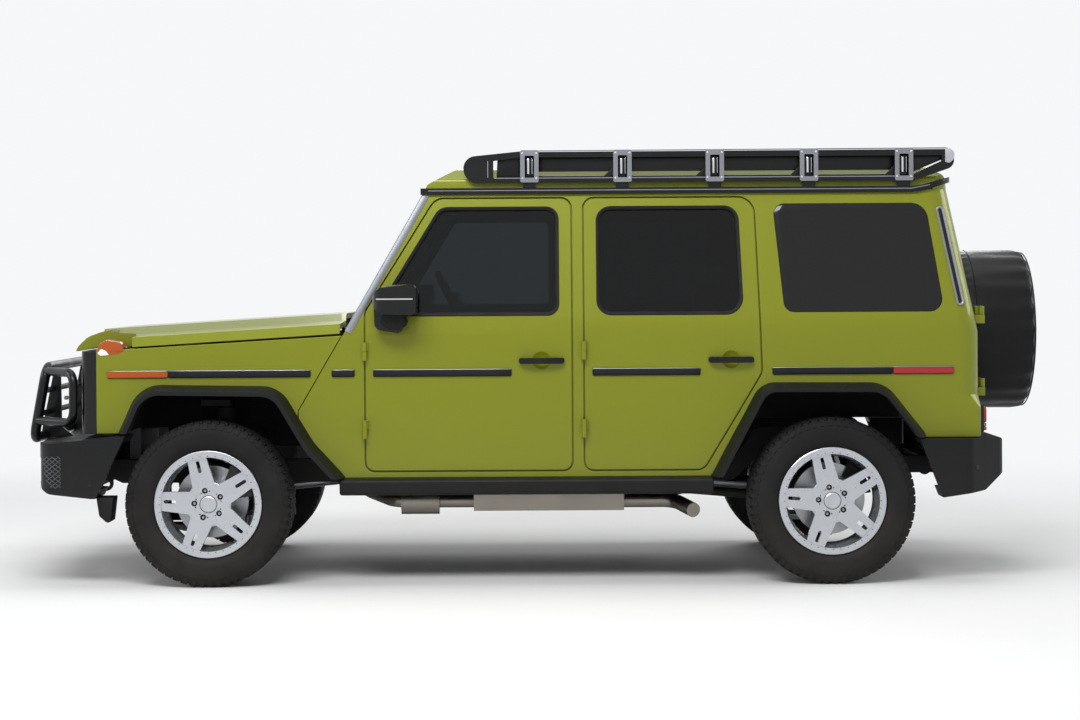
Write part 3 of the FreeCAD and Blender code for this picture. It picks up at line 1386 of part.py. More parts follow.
def knuckle():
    """The left upright with its spindle, steering arm and brake caliper."""
    body = block(XF - 34, XF + 34, KINGPIN_Y - 30, KINGPIN_Y + 40, AXLE_Z - 130, AXLE_Z + 142)
    body = body.cut(rod((XF, KINGPIN_Y, AXLE_Z - 200), (XF, KINGPIN_Y, AXLE_Z - 108), 12 + RUN_FIT))
    body = body.cut(rod((XF, KINGPIN_Y, AXLE_Z + 120), (XF, KINGPIN_Y, AXLE_Z + 200), 12 + RUN_FIT))
    round_body = rod((XF, KINGPIN_Y - 20, AXLE_Z), (XF, KINGPIN_Y + 46, AXLE_Z), 62)
    spindle = rod((XF, KINGPIN_Y + 40, AXLE_Z), (XF, HUB_END_Y, AXLE_Z), HUB_BORE)
    arm = plan_prism(
        [
            (XF - 20, KINGPIN_Y - 20),
            (XF - STEER_ARM - 22, KINGPIN_Y - 62, 18),
            (XF - STEER_ARM - 22, KINGPIN_Y - 18, 18),
            (XF - 20, KINGPIN_Y + 20),
        ],
        ROD_Z + 24,
        ROD_Z + 44,
    )
    socket = Part.makeSphere(JOINT_R + MOVE_GAP, Vector(XF, KINGPIN_Y, AXLE_Z))
    near, far = SHAFT_R + 10, SHAFT_R + 70
    mouth = plan_prism(
        [(XF - near, KINGPIN_Y), (XF - far, KINGPIN_Y - 100), (XF + far, KINGPIN_Y - 100), (XF + near, KINGPIN_Y)],
        AXLE_Z - SHAFT_R - MOVE_GAP,
        AXLE_Z + SHAFT_R + MOVE_GAP,
    )
    return fuse(body, round_body, spindle, arm, caliper(XF)).cut(socket).cut(mouth)


SHAFT_R = 17.0
JOINT_R = 25.0  # ball at the end of a front half shaft
HUB_END_Y = WHEEL_Y + 60.0
DISC_Y = WHEEL_Y - 52.0
DISC_R = 168.0


def caliper(axle_x):
    """The brake caliper above and behind the hub, straddling the disc."""
    body = turned([(-34, 118), (-34, 197, 8), (34, 197, 8), (34, 118)], DISC_Y)
    body = body.cut(turned([(-12 - MOVE_GAP, 50), (-12 - MOVE_GAP, DISC_R + 7), (12 + MOVE_GAP, DISC_R + 7), (12 + MOVE_GAP, 50)], DISC_Y))
    wedge = side_prism([(-20, 0), (-400, 60), (-400, 420), (-190, 420)], -WIDE, WIDE)
    body = body.common(wedge)
    link = block(-170, -20, DISC_Y - 34 - 14, DISC_Y - 34 + 6, 20, 120)
    link = link.common(side_prism([(-20, 0), (-400, 60), (-400, 420), (-190, 420)], -WIDE, WIDE))
    piece = body.fuse(link)
    piece.translate(Vector(axle_x, 0, AXLE_Z))
    return piece


def rim():
    """A wheel: barrel, five broad spokes, hub and brake disc, about the Y axis at the origin."""
    barrel = turned(
        [
            (-114, 226),
            (-114, RIM_RADIUS, 5),
            (-100, RIM_RADIUS, 5),
            (-96, 236),
            (-50, 236),
            (-30, 212),
            (30, 212),
            (50, 236),
            (98, 236),
            (102, RIM_RADIUS, 5),
            (116, RIM_RADIUS, 5),
            (116, 218),
            (84, 218),
            (40, 204),
            (-40, 204),
            (-70, 226),
        ]
    )
    pieces = [barrel]
    for i in range(5):
        half_hub, half_rim = 54.0, 43.0
        spoke = side_prism(
            [(60, -half_hub), (222, -half_rim), (222, half_rim), (60, half_hub)],
            78,
            104,
        )
        slot = side_prism([(150, -8, 7), (206, -8, 7), (206, 8, 7), (150, 8, 7)], 60, 120)
        spoke = spoke.cut(slot)
        spoke.rotate(Vector(0, 0, 0), Vector(0, 1, 0), -(4 + 72 * i))
        pieces.append(spoke)
    hub = turned([(DISC_Y - WHEEL_Y + 12, HUB_BORE + RUN_FIT), (DISC_Y - WHEEL_Y + 12, 80), (70, 100, 8), (98, 108, 6),
                  (98, 0), (62, 0), (62, HUB_BORE + RUN_FIT)])
    disc = turned([(DISC_Y - WHEEL_Y - 12, HUB_BORE + RUN_FIT), (DISC_Y - WHEEL_Y - 12, DISC_R),
                   (DISC_Y - WHEEL_Y + 12, DISC_R), (DISC_Y - WHEEL_Y + 12, HUB_BORE + RUN_FIT)])
    wheel = fuse(*pieces, hub, disc)
    holes = []
    for i in range(5):
        angle = math.radians(4 + 72 * i)
        x, z = 65 * math.cos(angle), 65 * math.sin(angle)
        holes.append(rod((x, 76, z), (x, 130, z), 10))
    return wheel.cut(Part.makeCompound(holes))


def tyre():
    """A tyre with open inside, seated on the rim's bead seats."""
    half = TYRE_WIDTH / 2
    bead = 236 + SEAT_FIT
    height = TYRE_RADIUS - bead
    bulge = bead + 0.48 * height
    return turned(
        [
            (-95.4, bead),
            (-99.4, RIM_RADIUS + 0.8),
            (-114, RIM_RADIUS + 3),
            (-half, bulge, 60),
            (-half + 8, TYRE_RADIUS - 16),
            (-half + 30, TYRE_RADIUS),
            (half - 30, TYRE_RADIUS),
            (half - 8, TYRE_RADIUS - 16),
            (half, bulge, 60),
            (116, RIM_RADIUS + 3),
            (101.4, RIM_RADIUS + 0.8),
            (97.4, bead),
            (60, bead),
            (60, bead + 16),
            (half - 22, bulge - 4),
            (half - 30, TYRE_RADIUS - 24),
            (-half + 30, TYRE_RADIUS - 24),
            (-half + 22, bulge - 4),
            (-60, bead + 16),
            (-60, bead),
        ]
    )


def at_wheel(shape, x, left):
    piece = shape.copy() if left else mirrored(shape)
    piece.translate(Vector(x, WHEEL_Y if left else -WHEEL_Y, AXLE_Z))
    return piece


def rear_axle():
    """A solid rear axle with differential, spindles and calipers."""
    pieces = [
        rod((XR, -KINGPIN_Y, AXLE_Z), (XR, KINGPIN_Y, AXLE_Z), 48),
        Part.makeSphere(150, Vector(XR, 0, AXLE_Z)),
        rod((XR, 0, AXLE_Z), (XR + 230, 0, AXLE_Z), 45),
    ]
    for side in (-1, 1):
        pieces.append(rod((XR, side * (KINGPIN_Y - 10), AXLE_Z), (XR, side * (KINGPIN_Y + 34), AXLE_Z), 70))
        pieces.append(rod((XR, side * (KINGPIN_Y + 30), AXLE_Z), (XR, side * HUB_END_Y, AXLE_Z), HUB_BORE))
        cal = caliper(XR)
        cal = cal.fuse(block(XR - 150, XR - 10, KINGPIN_Y + 5, DISC_Y - 34 + 6, AXLE_Z + 8, AXLE_Z + 60))
        pieces.append(cal if side > 0 else mirrored(cal))
        pieces.append(block(XR - 55, XR + 55, *sorted((side * 500, side * 600)), AXLE_Z + 30, AXLE_Z + 70))
        pieces.append(block(XR - 60, XR + 60, *sorted((side * 440, side * 480)), AXLE_Z - 60, AXLE_Z + 10))
        pieces.append(block(XR - 60, XR - 30, *sorted((side * 495, side * 545)), AXLE_Z, AXLE_Z + 60))
    return fuse(*pieces)


def rear_suspension():
    """The left trailing arm, spring and damper of the rear axle."""
    spring_top = RAIL_Z + RAIL_H + 95
    arm = fuse(
        rod((XR + 63, 470, AXLE_Z - 30), (XR + 700, 412, AXLE_Z + 20), 22),
        block(XR + 670, XR + 720, 385, 430, AXLE_Z - 10, RAIL_Z - SEAT_FIT),
    )
    spring = rod((XR, 550, AXLE_Z + 70 + SEAT_FIT), (XR, 550, spring_top - SEAT_FIT), 56)
    damper = rod((XR - 79, 520, AXLE_Z + 50), (XR - 180, 520, AXLE_Z + 300), 20)
    ear = block(XR - 215, XR - 150, RAIL_Y + RAIL_W / 2 + SEAT_FIT, 540, AXLE_Z + 275, AXLE_Z + 315)
    return arm, spring, fuse(damper, ear)


def propeller_shafts():
    """The shafts from the transfer case to the two axles."""
    rear = rod((XR + 232.6, 0, AXLE_Z), (XF - 1320 - SEAT_FIT, 0, AXLE_Z + 90), 32)
    front = rod((XF - 212.8, -60, AXLE_Z), (XF - 865 + 2 * SEAT_FIT, -100, AXLE_Z + 62), 25)
    gearbox = engine_and_gearbox()
    return Part.makeCompound([rear.cut(gearbox), front.cut(gearbox).cut(front_differential())])


def fuel_tank():
    """The tank, hung on the inside of the right rail."""
    side = -(RAIL_Y - RAIL_W / 2 - SEAT_FIT)
    tank = block(XR + 620, XR + 1120, side, -70, RAIL_Z - 50, RAIL_Z + 95)
    lip = block(XR + 610, XR + 1130, side, -60, RAIL_Z + 40, RAIL_Z + 52)
    return fuse(tank, lip)


def exhaust():
    """A pipe, catalyst and box silencer under the left side, with the tip just ahead of the rear wheel."""
    y, z = 640.0, AXLE_Z - 15.0
    front = pipe(
        [
            (XF - 500, 240, AXLE_Z + 150),
            (XF - 700, 300, z + 20, 120),
            (XF - 850, y, z, 120),
            (XF - 1250, y, z),
        ],
        32,
    )
    cat = rod((XF - 880, y, z), (XF - 1060, y, z), 62)
    silencer = block(XF - 1930, XF - 1225, 520, 770, AXLE_Z - 52, AXLE_Z + 48)
    tail = pipe(
        [
            (XF - 1900, 660, z),
            (XF - 2170, 660, z, 90),
            (XF - 2250, 860, z - 30),
        ],
        34,
    )
    hanger = block(XF - 1560, XF - 1530, 640, 670, AXLE_Z + 40, FLOOR_Z - PAN - SEAT_FIT)
    return fuse(front, cat, silencer, tail, hanger)


def steering_rack():
    """The housing that the track rod slides through, on the rear member of the subframe."""
    x = XF - STEER_ARM
    house = rod((x, -290, ROD_Z), (x, 290, ROD_Z), 28)
    face = XF - ARM_SPREAD + 45 + SEAT_FIT
    feet = [block(face, x, y - 30, y + 30, ROD_Z - 18, ROD_Z + 15) for y in (-200, 200)]
    return fuse(house, *feet).cut(rod((x, -400, ROD_Z), (x, 400, ROD_Z), 16 + RUN_FIT))


def track_rod():
    x = XF - STEER_ARM
    reach = KINGPIN_Y - 40
    bar = rod((x, -reach, ROD_Z), (x, reach, ROD_Z), 16)
    eyes = [rod((x, side * reach, ROD_Z - 19), (x, side * reach, ROD_Z + 19), 22) for side in (-1, 1)]
    return fuse(bar, *eyes)


# ---------------------------------------------------------------- write the pieces
os.makedirs("parts", exist_ok=True)

save("ladder_frame", both(frame_rail()))
save("cross_members", cross_members())
save("engine_and_gearbox", engine_and_gearbox())
save("front_differential", front_differential())
lower_arm, upper_arm = front_suspension()
save("front_suspension", both(lower_arm, upper_arm))
save("steering_rack", steering_rack())
save("track_rod", track_rod())
left_knuckle = knuckle()
save("knuckle_left", left_knuckle)
save("knuckle_right", mirrored(left_knuckle))
save("rear_axle", rear_axle())
save("rear_suspension", both(*rear_suspension()))
save("propeller_shafts", propeller_shafts())
save("fuel_tank", fuel_tank())
save("exhaust", exhaust())

for corner_name, axle_x, is_left in (
    ("front_left", XF, True),
    ("front_right", XF, False),
    ("rear_left", XR, True),
    ("rear_right", XR, False),
):
    save("rim_" + corner_name, at_wheel(rim(), axle_x, is_left))
    save("tyre_" + corner_name, at_wheel(tyre(), axle_x, is_left))

left_side = fuse(body_side(), *tailgate_hinge_fixed())
save("body_sides", Part.makeCompound([left_side, mirrored(body_side())]))
save("floor_pan", floor_pan())
save("load_floor", load_floor())
save("roof_panel", roof_panel())
save("windscreen_frame", windscreen_frame())
save("rear_frame", rear_frame())
save("fixed_glass", Part.makeCompound([screen_glass(), quarter_glass(), mirrored(quarter_glass())]))
save("front_fenders", both(front_fender()))
save("arch_liners", both(arch_liner()))
save("front_panel", front_panel())
save("grille", grille())
save("lamps", lamps())
save("hood", hood())
save("front_bumper", front_bumper())
save("rear_bumper", rear_bumper())
save("brush_guard", brush_guard())
save("arch_flares", both(front_flare(), rear_flare()))
save("sill_covers", both(sill_cover()))
save("roof_rack", roof_rack())
save("dashboard", dashboard())
save("steering_wheel", steering_wheel())
save("front_seats", front_seats())
save("rear_seat", rear_seat())

doors = {
    "door_front": front_door_left(),
    "glass_front": door_glass(FRONT_WINDOW),
    "mirror": mirror(),
    "door_rear": rear_door_left(),
    "glass_rear": door_glass(REAR_WINDOW),
}
for piece_name, piece_shape in doors.items():
    save(piece_name + "_left", piece_shape)
    save(piece_name + "_right", mirrored(piece_shape))

save("tailgate", tailgate())
save("tailgate_glass", tailgate_glass())
save("spare_wheel", spare_wheel())
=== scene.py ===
import bmesh
import bpy
import json
import math
from mathutils import Matrix, Vector
from mathutils.bvhtree import BVHTree

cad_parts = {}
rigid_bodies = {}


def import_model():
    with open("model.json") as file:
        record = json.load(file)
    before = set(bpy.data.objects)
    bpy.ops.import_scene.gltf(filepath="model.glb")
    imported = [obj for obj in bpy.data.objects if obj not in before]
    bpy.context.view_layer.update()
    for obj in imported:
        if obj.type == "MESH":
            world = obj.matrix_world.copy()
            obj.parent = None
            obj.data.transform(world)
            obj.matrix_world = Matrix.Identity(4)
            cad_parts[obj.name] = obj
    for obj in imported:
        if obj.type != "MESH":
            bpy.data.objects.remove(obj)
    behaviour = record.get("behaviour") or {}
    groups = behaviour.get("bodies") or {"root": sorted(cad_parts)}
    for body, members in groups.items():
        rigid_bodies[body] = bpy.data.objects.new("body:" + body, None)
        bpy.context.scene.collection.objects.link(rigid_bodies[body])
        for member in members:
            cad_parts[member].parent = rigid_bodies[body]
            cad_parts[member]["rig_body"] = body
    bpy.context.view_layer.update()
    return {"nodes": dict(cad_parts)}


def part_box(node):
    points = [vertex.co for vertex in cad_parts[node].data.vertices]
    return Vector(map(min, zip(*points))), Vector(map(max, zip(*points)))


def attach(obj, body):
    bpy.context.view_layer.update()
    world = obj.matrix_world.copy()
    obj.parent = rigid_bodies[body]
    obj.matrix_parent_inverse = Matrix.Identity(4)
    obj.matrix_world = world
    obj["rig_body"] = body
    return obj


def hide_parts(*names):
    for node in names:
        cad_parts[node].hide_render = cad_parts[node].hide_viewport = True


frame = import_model()

# %% [markdown]
# An off-road 4x4 around its CAD frame
#
# The frame gives every panel, wheel and hinge at its true place. Here each piece gets what sheet metal,
# rubber and glass have on the real vehicle: rolled edges, tread, seals, lamps, seams and finishes. The
# first cell finds the axles' places from the boxes of the frame's tyres. Nothing that is added may make
# the vehicle bigger than it is.

# %% Axle places from the boxes of the frame's tyres
nodes = frame["nodes"]


def middle(node):
    low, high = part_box(node)
    return (Vector(low) + Vector(high)) / 2


AXLE_F = middle("tyre_front_left")
AXLE_R = middle("tyre_rear_left")
HUB_Z = AXLE_F.z
print("front axle", AXLE_F, "rear axle", AXLE_R)

# %% [markdown]
# Finishes and patterns are both node trees. Building one takes the same few steps each time: put a node in,
# set some of its inputs, and link it up. So those steps get short names first.

# %% Short words for building node trees
MIX_A, MIX_B, MIX_RESULT = 6, 7, 2  # the colour sockets of a Mix node


def fill(node, **values):
    """Sets a node's inputs by name, with _ for a space."""
    for name, value in values.items():
        node.inputs[name.replace("_", " ")].default_value = value
    return node


def put(tree, kind, **values):
    """A new node in a tree, with some of its inputs set."""
    return fill(tree.nodes.new(kind), **values)


def put_group(tree, group, **values):
    made = put(tree, "ShaderNodeGroup")
    made.node_tree = group
    return fill(made, **values)


def put_math(tree, operation):
    made = put(tree, "ShaderNodeMath")
    made.operation = operation
    return made


def put_mix(tree):
    made = put(tree, "ShaderNodeMix")
    made.data_type = "RGBA"
    return made


def wire(tree, *links):
    """Links sockets: each link is (node, output, node, input), by name or by number."""
    for source, output, target, socket in links:
        tree.links.new(source.outputs[output], target.inputs[socket])


def new_group(name, tree_type, inputs, outputs):
    """A node group with named sockets, and its input and output nodes."""
    tree = bpy.data.node_groups.new(name, tree_type)
    for in_out, sockets in (("INPUT", inputs), ("OUTPUT", outputs)):
        for label, socket_type, *value in sockets:
            kind = "NodeSocket" + socket_type
            socket = tree.interface.new_socket(name=label, in_out=in_out, socket_type=kind)
            if value:
                socket.default_value = value[0]
    return tree, tree.nodes.new("NodeGroupInput"), tree.nodes.new("NodeGroupOutput")


print("colour sockets of a Mix node:", MIX_A, MIX_B, MIX_RESULT)

# %% [markdown]
# Finishes are node materials. A paint, a grained plastic and a rubber differ in how light breaks up on
# them: paint has a hard clear coat over a base that barely varies, plastic has a fine grain that roughens
# it, and rubber takes up dust. Two effects are wanted by several of them, so each is one node group: grain
# gives a height for a Bump node, and dust gives a mask that grows near the ground.

# %% Node groups that several finishes share
def grain_group():
    """Moulded grain: cells for relief, and a roughness that wanders between two values."""
    tree, inp, out = new_group(
        "Moulded grain", "ShaderNodeTree",
        [("Scale", "Float", 900.0), ("Rough Low", "Float", 0.4), ("Rough High", "Float", 0.6)],
        [("Height", "Float"), ("Roughness", "Float")],
    )
    coords = put(tree, "ShaderNodeTexCoord")
    cells = put(tree, "ShaderNodeTexVoronoi")
    cloud = put(tree, "ShaderNodeTexNoise", Scale=7.0, Detail=4.0)
    rough = put(tree, "ShaderNodeMapRange", From_Min=0.35, From_Max=0.65)
    wire(tree, (coords, "Object", cells, "Vector"), (coords, "Object", cloud, "Vector"),
         (inp, "Scale", cells, "Scale"), (cells, "Distance", out, "Height"), (cloud, "Fac", rough, "Value"),
         (inp, "Rough Low", rough, "To Min"), (inp, "Rough High", rough, "To Max"),
         (rough, "Result", out, "Roughness"))
    return tree


def dust_group():
    """A mask of road dust: strongest at the ground and gone by the height Clear."""
    tree, inp, out = new_group(
        "Road dust", "ShaderNodeTree",
        [("Clear", "Float", 0.7), ("Amount", "Float", 0.3), ("Clean Colour", "Color"),
         ("Dust Colour", "Color", (0.23, 0.2, 0.16, 1.0))],
        [("Mask", "Float"), ("Colour", "Color")],
    )
    coords = put(tree, "ShaderNodeTexCoord")
    split = put(tree, "ShaderNodeSeparateXYZ")
    height = put(tree, "ShaderNodeMapRange", From_Min=0.0, To_Min=1.0, To_Max=0.0)
    noise = put(tree, "ShaderNodeTexNoise", Scale=9.0, Detail=6.0)
    patches, amount, mix = put_math(tree, "MULTIPLY"), put_math(tree, "MULTIPLY"), put_mix(tree)
    wire(tree, (coords, "Object", split, "Vector"), (coords, "Object", noise, "Vector"),
         (split, "Z", height, "Value"), (inp, "Clear", height, "From Max"), (height, "Result", patches, 0),
         (noise, "Fac", patches, 1), (patches, 0, amount, 0), (inp, "Amount", amount, 1),
         (amount, 0, out, "Mask"), (amount, 0, mix, "Factor"), (inp, "Clean Colour", mix, MIX_A),
         (inp, "Dust Colour", mix, MIX_B), (mix, MIX_RESULT, out, "Colour"))
    return tree


GRAIN = grain_group()
DUST = dust_group()
print("node groups:", GRAIN.name, DUST.name)


# %% Making a finish from its base values
def srgb(r, g, b):
    """A colour written as 0 to 255 values, as the shader's linear numbers."""
    def linear(c):
        c = c / 255
        return c / 12.92 if c <= 0.04045 else ((c + 0.055) / 1.055) ** 2.4
    return (linear(r), linear(g), linear(b), 1.0)


def new_material(name):
    """A material on nodes, with its tree and its shader."""
    material = bpy.data.materials.new(name)
    material.use_nodes = True
    return material, material.node_tree, material.node_tree.nodes["Principled BSDF"]


def finish(name, colour, roughness=0.5, metallic=0.0, dust=0.25, grain=None, grain_depth=0.0, coat=0.0,
           spread=0.06, sheen=0.0):
    """A material with dust and, where grain is a scale, a moulded grain as relief."""
    material, tree, shader = new_material(name)
    fill(shader, Metallic=metallic, Coat_Weight=coat, Coat_Roughness=0.04, Specular_IOR_Level=0.2,
         Sheen_Weight=sheen)
    dusty = put_group(tree, DUST, Clean_Colour=colour, Amount=dust)
    relief = put_group(tree, GRAIN, Scale=grain or 300.0, Rough_Low=max(0.02, roughness - spread),
                       Rough_High=min(1.0, roughness + spread))
    wire(tree, (dusty, "Colour", shader, "Base Color"), (relief, "Roughness", shader, "Roughness"))
    if grain:
        bump = put(tree, "ShaderNodeBump", Distance=grain_depth, Strength=0.6)
        wire(tree, (relief, "Height", bump, "Height"), (bump, "Normal", shader, "Normal"))
    return material


def paint_finish(name, deep, bright):
    """Metallic body paint: a base of flakes that vary a little in tone, under a clear coat."""
    material = finish(name, bright, 0.32, 0.12, dust=0.05, coat=0.35, spread=0.03)
    tree = material.node_tree
    coords = put(tree, "ShaderNodeTexCoord")
    flakes = put(tree, "ShaderNodeTexNoise", Scale=1800.0, Detail=1.0)
    mix = put_mix(tree)
    mix.inputs[MIX_A].default_value = deep
    mix.inputs[MIX_B].default_value = bright
    dusty = next(n for n in tree.nodes if n.type == "GROUP" and n.node_tree == DUST)
    wire(tree, (coords, "Object", flakes, "Vector"), (flakes, "Fac", mix, "Factor"),
         (mix, MIX_RESULT, dusty, "Clean Colour"))
    return material


def glass_finish(name, colour):
    """Tinted glass: clear through, with its colour and gloss in the shader itself."""
    material, tree, shader = new_material(name)
    fill(shader, Base_Color=colour, Roughness=0.0, Transmission_Weight=1.0, IOR=1.2, Coat_Weight=0.3)
    return material


print("finishes can be made")

# %% The finishes of the outside
PAINT = paint_finish("body paint", srgb(106, 112, 8), srgb(130, 136, 16))
PLASTIC = finish("grained black plastic", srgb(16, 17, 18), 0.48, grain=1400.0, grain_depth=0.0004, dust=0.08)
GLOSS = finish("gloss black", srgb(5, 5, 6), 0.16, coat=0.35, dust=0.02)
SATIN = finish("satin black coat", srgb(9, 10, 11), 0.34, coat=0.15, dust=0.03)
GREY = finish("satin grey coat", srgb(128, 131, 136), 0.34, metallic=0.55, coat=0.2, dust=0.03)
CHASSIS = finish("chassis black", srgb(15, 15, 16), 0.6, dust=0.25)
CAST = finish("bare casting", srgb(84, 86, 88), 0.55, metallic=0.7, grain=500.0, grain_depth=0.0006, dust=0.3)
STEEL = finish("bare steel", srgb(150, 152, 155), 0.3, metallic=1.0, dust=0.15)
EXHAUST = finish("heat-toned steel", srgb(134, 128, 120), 0.35, metallic=1.0, dust=0.3)
LINER = finish("liner plastic", srgb(11, 11, 12), 0.85, grain=400.0, grain_depth=0.0008, dust=0.12)
RUBBER = finish("seal rubber", srgb(10, 10, 11), 0.6, dust=0.08)
TYRE = finish("tyre rubber", srgb(17, 17, 18), 0.7, grain=700.0, grain_depth=0.0003, dust=0.12)
ALLOY = finish("silver wheel paint", srgb(182, 185, 190), 0.27, metallic=0.8, coat=0.6, dust=0.06)
BRIGHT = finish("bright metal", srgb(212, 214, 217), 0.18, metallic=1.0, dust=0.04)
LED = finish("frosted lamp bar", srgb(226, 230, 234), 0.35, dust=0.0)
VINYL = finish("cover vinyl", srgb(10, 10, 11), 0.36, grain=600.0, grain_depth=0.0004, dust=0.03)
AMBER = finish("amber lens", srgb(160, 72, 14), 0.16, coat=0.4, dust=0.0)
RED = finish("red lens", srgb(150, 9, 11), 0.12, coat=0.8, dust=0.02)
GLASS = glass_finish("tinted glass", srgb(88, 95, 98))
DARK_GLASS = glass_finish("dark tinted glass", srgb(44, 48, 50))
# Near black and opaque: the privacy tint, plus painted shade for the cabin seen through the glass.
PRIVACY_TINT_AND_SHADE = finish("black-backed glass", srgb(7, 6, 6), 0.05, coat=0.35, dust=0.0, spread=0.01)
LENS = glass_finish("lamp lens", srgb(240, 244, 246))
MIRROR = finish("mirror silver", srgb(225, 228, 230), 0.03, metallic=1.0, dust=0.0, spread=0.01)
print("finishes outside:", len(bpy.data.materials))

# %% The finishes of the cabin
LEATHER = finish("black leather", srgb(20, 19, 19), 0.48, grain=420.0, grain_depth=0.0006, dust=0.0)
CABIN = finish("cabin plastic", srgb(15, 15, 16), 0.6, grain=1100.0, grain_depth=0.0004, dust=0.0)
CARPET = finish("carpet", srgb(12, 12, 13), 0.95, grain=1600.0, grain_depth=0.002, dust=0.0, sheen=0.3)
LINING = finish("roof lining", srgb(84, 82, 79), 0.95, grain=1800.0, grain_depth=0.0008, dust=0.0)
print("finishes in all:", len(bpy.data.materials))

# %% [markdown]
# Most panels keep the frame's shape. A pressed or moulded panel never has a knife edge, so each gets its
# edges rolled by a few millimetres. The frame's meshes are loose triangles, so a copy is merged and its
# flat faces joined before the Bevel modifier runs, and the bevel is limited to real corners.

# %% Objects and their meshes
def scene_object(name, data):
    obj = bpy.data.objects.new(name, data)
    bpy.context.scene.collection.objects.link(obj)
    return obj


def mesh_object(name, mesh, material, body):
    obj = scene_object(name, mesh)
    if material is not None and not mesh.materials:
        mesh.materials.append(material)
    if body:
        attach(obj, body)
    return obj


def smooth(mesh):
    for polygon in mesh.polygons:
        polygon.use_smooth = True


def smooth_by_angle(mesh, degrees=35):
    smooth(mesh)
    mesh.set_sharp_from_angle(angle=math.radians(degrees))


def evaluated_mesh(obj):
    """What the object's modifiers make, as a mesh of its own."""
    graph = bpy.context.evaluated_depsgraph_get()
    return bpy.data.meshes.new_from_object(obj.evaluated_get(graph))


def apply_modifiers(obj):
    """Turns the evaluated object into its own plain mesh, with no modifier left."""
    mesh, old = evaluated_mesh(obj), obj.data
    obj.modifiers.clear()
    obj.data = mesh
    bpy.data.meshes.remove(old)


print("frame nodes to dress:", len(nodes))


# %% Panels with rolled edges
def merged_copy(node):
    """The node's mesh, merged, with flat faces joined."""
    mesh = nodes[node].data.copy()
    mesh.materials.clear()
    bm = bmesh.new()
    bm.from_mesh(mesh)
    bmesh.ops.remove_doubles(bm, verts=bm.verts, dist=1e-5)
    bmesh.ops.dissolve_limit(bm, angle_limit=math.radians(1.0), verts=bm.verts, edges=bm.edges)
    bm.to_mesh(mesh)
    bm.free()
    return mesh


def folded_faces(mesh):
    """The many-sided faces whose own triangles would fold over."""
    mesh.calc_loop_triangles()
    folded = set()
    for part in mesh.loop_triangles:
        a, b, c = (mesh.vertices[i].co for i in part.vertices)
        normal = (b - a).cross(c - a)
        broad = normal.length > 2e-6
        if broad and normal.normalized().dot(mesh.polygons[part.polygon_index].normal) < 0:
            folded.add(part.polygon_index)
    return folded


def mend_faces(mesh, crease=1.5, broad=0.008):
    """Fills folded faces afresh, and keeps a crease of so many degrees crisp between broad faces."""
    folded = folded_faces(mesh)
    bm = bmesh.new()
    bm.from_mesh(mesh)
    bm.faces.ensure_lookup_table()
    for face in [bm.faces[i] for i in folded]:
        edges, normal = list(face.edges), face.normal.copy()
        bm.faces.remove(face)
        made = bmesh.ops.triangle_fill(bm, edges=edges, use_beauty=True, normal=normal)["geom"]
        for item in made:
            if isinstance(item, bmesh.types.BMFace) and item.normal.dot(normal) < 0:
                item.normal_flip()
    for edge in bm.edges:
        if len(edge.link_faces) == 2 and edge.calc_face_angle(0) > math.radians(crease):
            if min(face.calc_area() for face in edge.link_faces) > broad:
                edge.smooth = False
    bm.to_mesh(mesh)
    bm.free()


def panel(node, material, bevel, angle=28, name=None):
    """A frame node with its edges rolled, in its own finish, standing in for the node."""
    obj = mesh_object(name or node + "_skin", merged_copy(node), material, None)
    roll = obj.modifiers.new("rolled edges", "BEVEL")
    roll.width = bevel
    roll.segments = 2
    roll.limit_method = "ANGLE"
    roll.angle_limit = math.radians(angle)
    roll.harden_normals = False
    roll.use_clamp_overlap = True
    apply_modifiers(obj)
    smooth_by_angle(obj.data, 32)
    mend_faces(obj.data)
    weigh = obj.modifiers.new("flat faces lead", "WEIGHTED_NORMAL")
    weigh.weight = 100
    weigh.keep_sharp = True
    apply_modifiers(obj)
    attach(obj, nodes[node]["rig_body"])
    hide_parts(node)
    return obj


print("panels can be rolled")

# %% [markdown]
# What is added to the panels comes in few kinds: boxes, turned forms, bars along a path, and plates with an
# outline. Each kind is a function that returns a mesh, so that small pieces of one finish can be joined.

# %% From rings of points to meshes
def mesh_from(bm, name, outwards=False):
    """Ends a bmesh as a plain mesh; outwards turns its faces out first."""
    if outwards:
        bmesh.ops.recalc_face_normals(bm, faces=bm.faces)
    mesh = bpy.data.meshes.new(name)
    bm.to_mesh(mesh)
    bm.free()
    return mesh


def bridge(bm, rings, back_to_start=False, closed=True, caps=True):
    """Faces between neighbouring rings of points; caps fills the first and the last ring."""
    count = len(rings[0])
    for one, two in zip(rings, rings[1:] + (rings[:1] if back_to_start else [])):
        for j in range(count if closed else count - 1):
            k = (j + 1) % count
            bm.faces.new((one[j], one[k], two[k], two[j]))
    if caps:
        bm.faces.new(list(reversed(rings[0])))
        bm.faces.new(rings[-1])


def merged(name, parts):
    """Several meshes as one; the parts themselves stay."""
    bm = bmesh.new()
    for part in parts:
        bm.from_mesh(part)
    return mesh_from(bm, name)


def joined(name, parts, material, body):
    """Several meshes as one piece."""
    mesh = merged(name, parts)
    for part in parts:
        bpy.data.meshes.remove(part)
    smooth_by_angle(mesh)
    return mesh_object(name, mesh, material, body)


def mirrored_mesh(mesh):
    """A copy on the other side of the vehicle, with its faces still pointing outwards."""
    copy = mesh.copy()
    copy.transform(Matrix.Scale(-1, 4, Vector((0, 1, 0))))
    copy.flip_normals()
    return copy


print("rings, joins and mirrors ready")


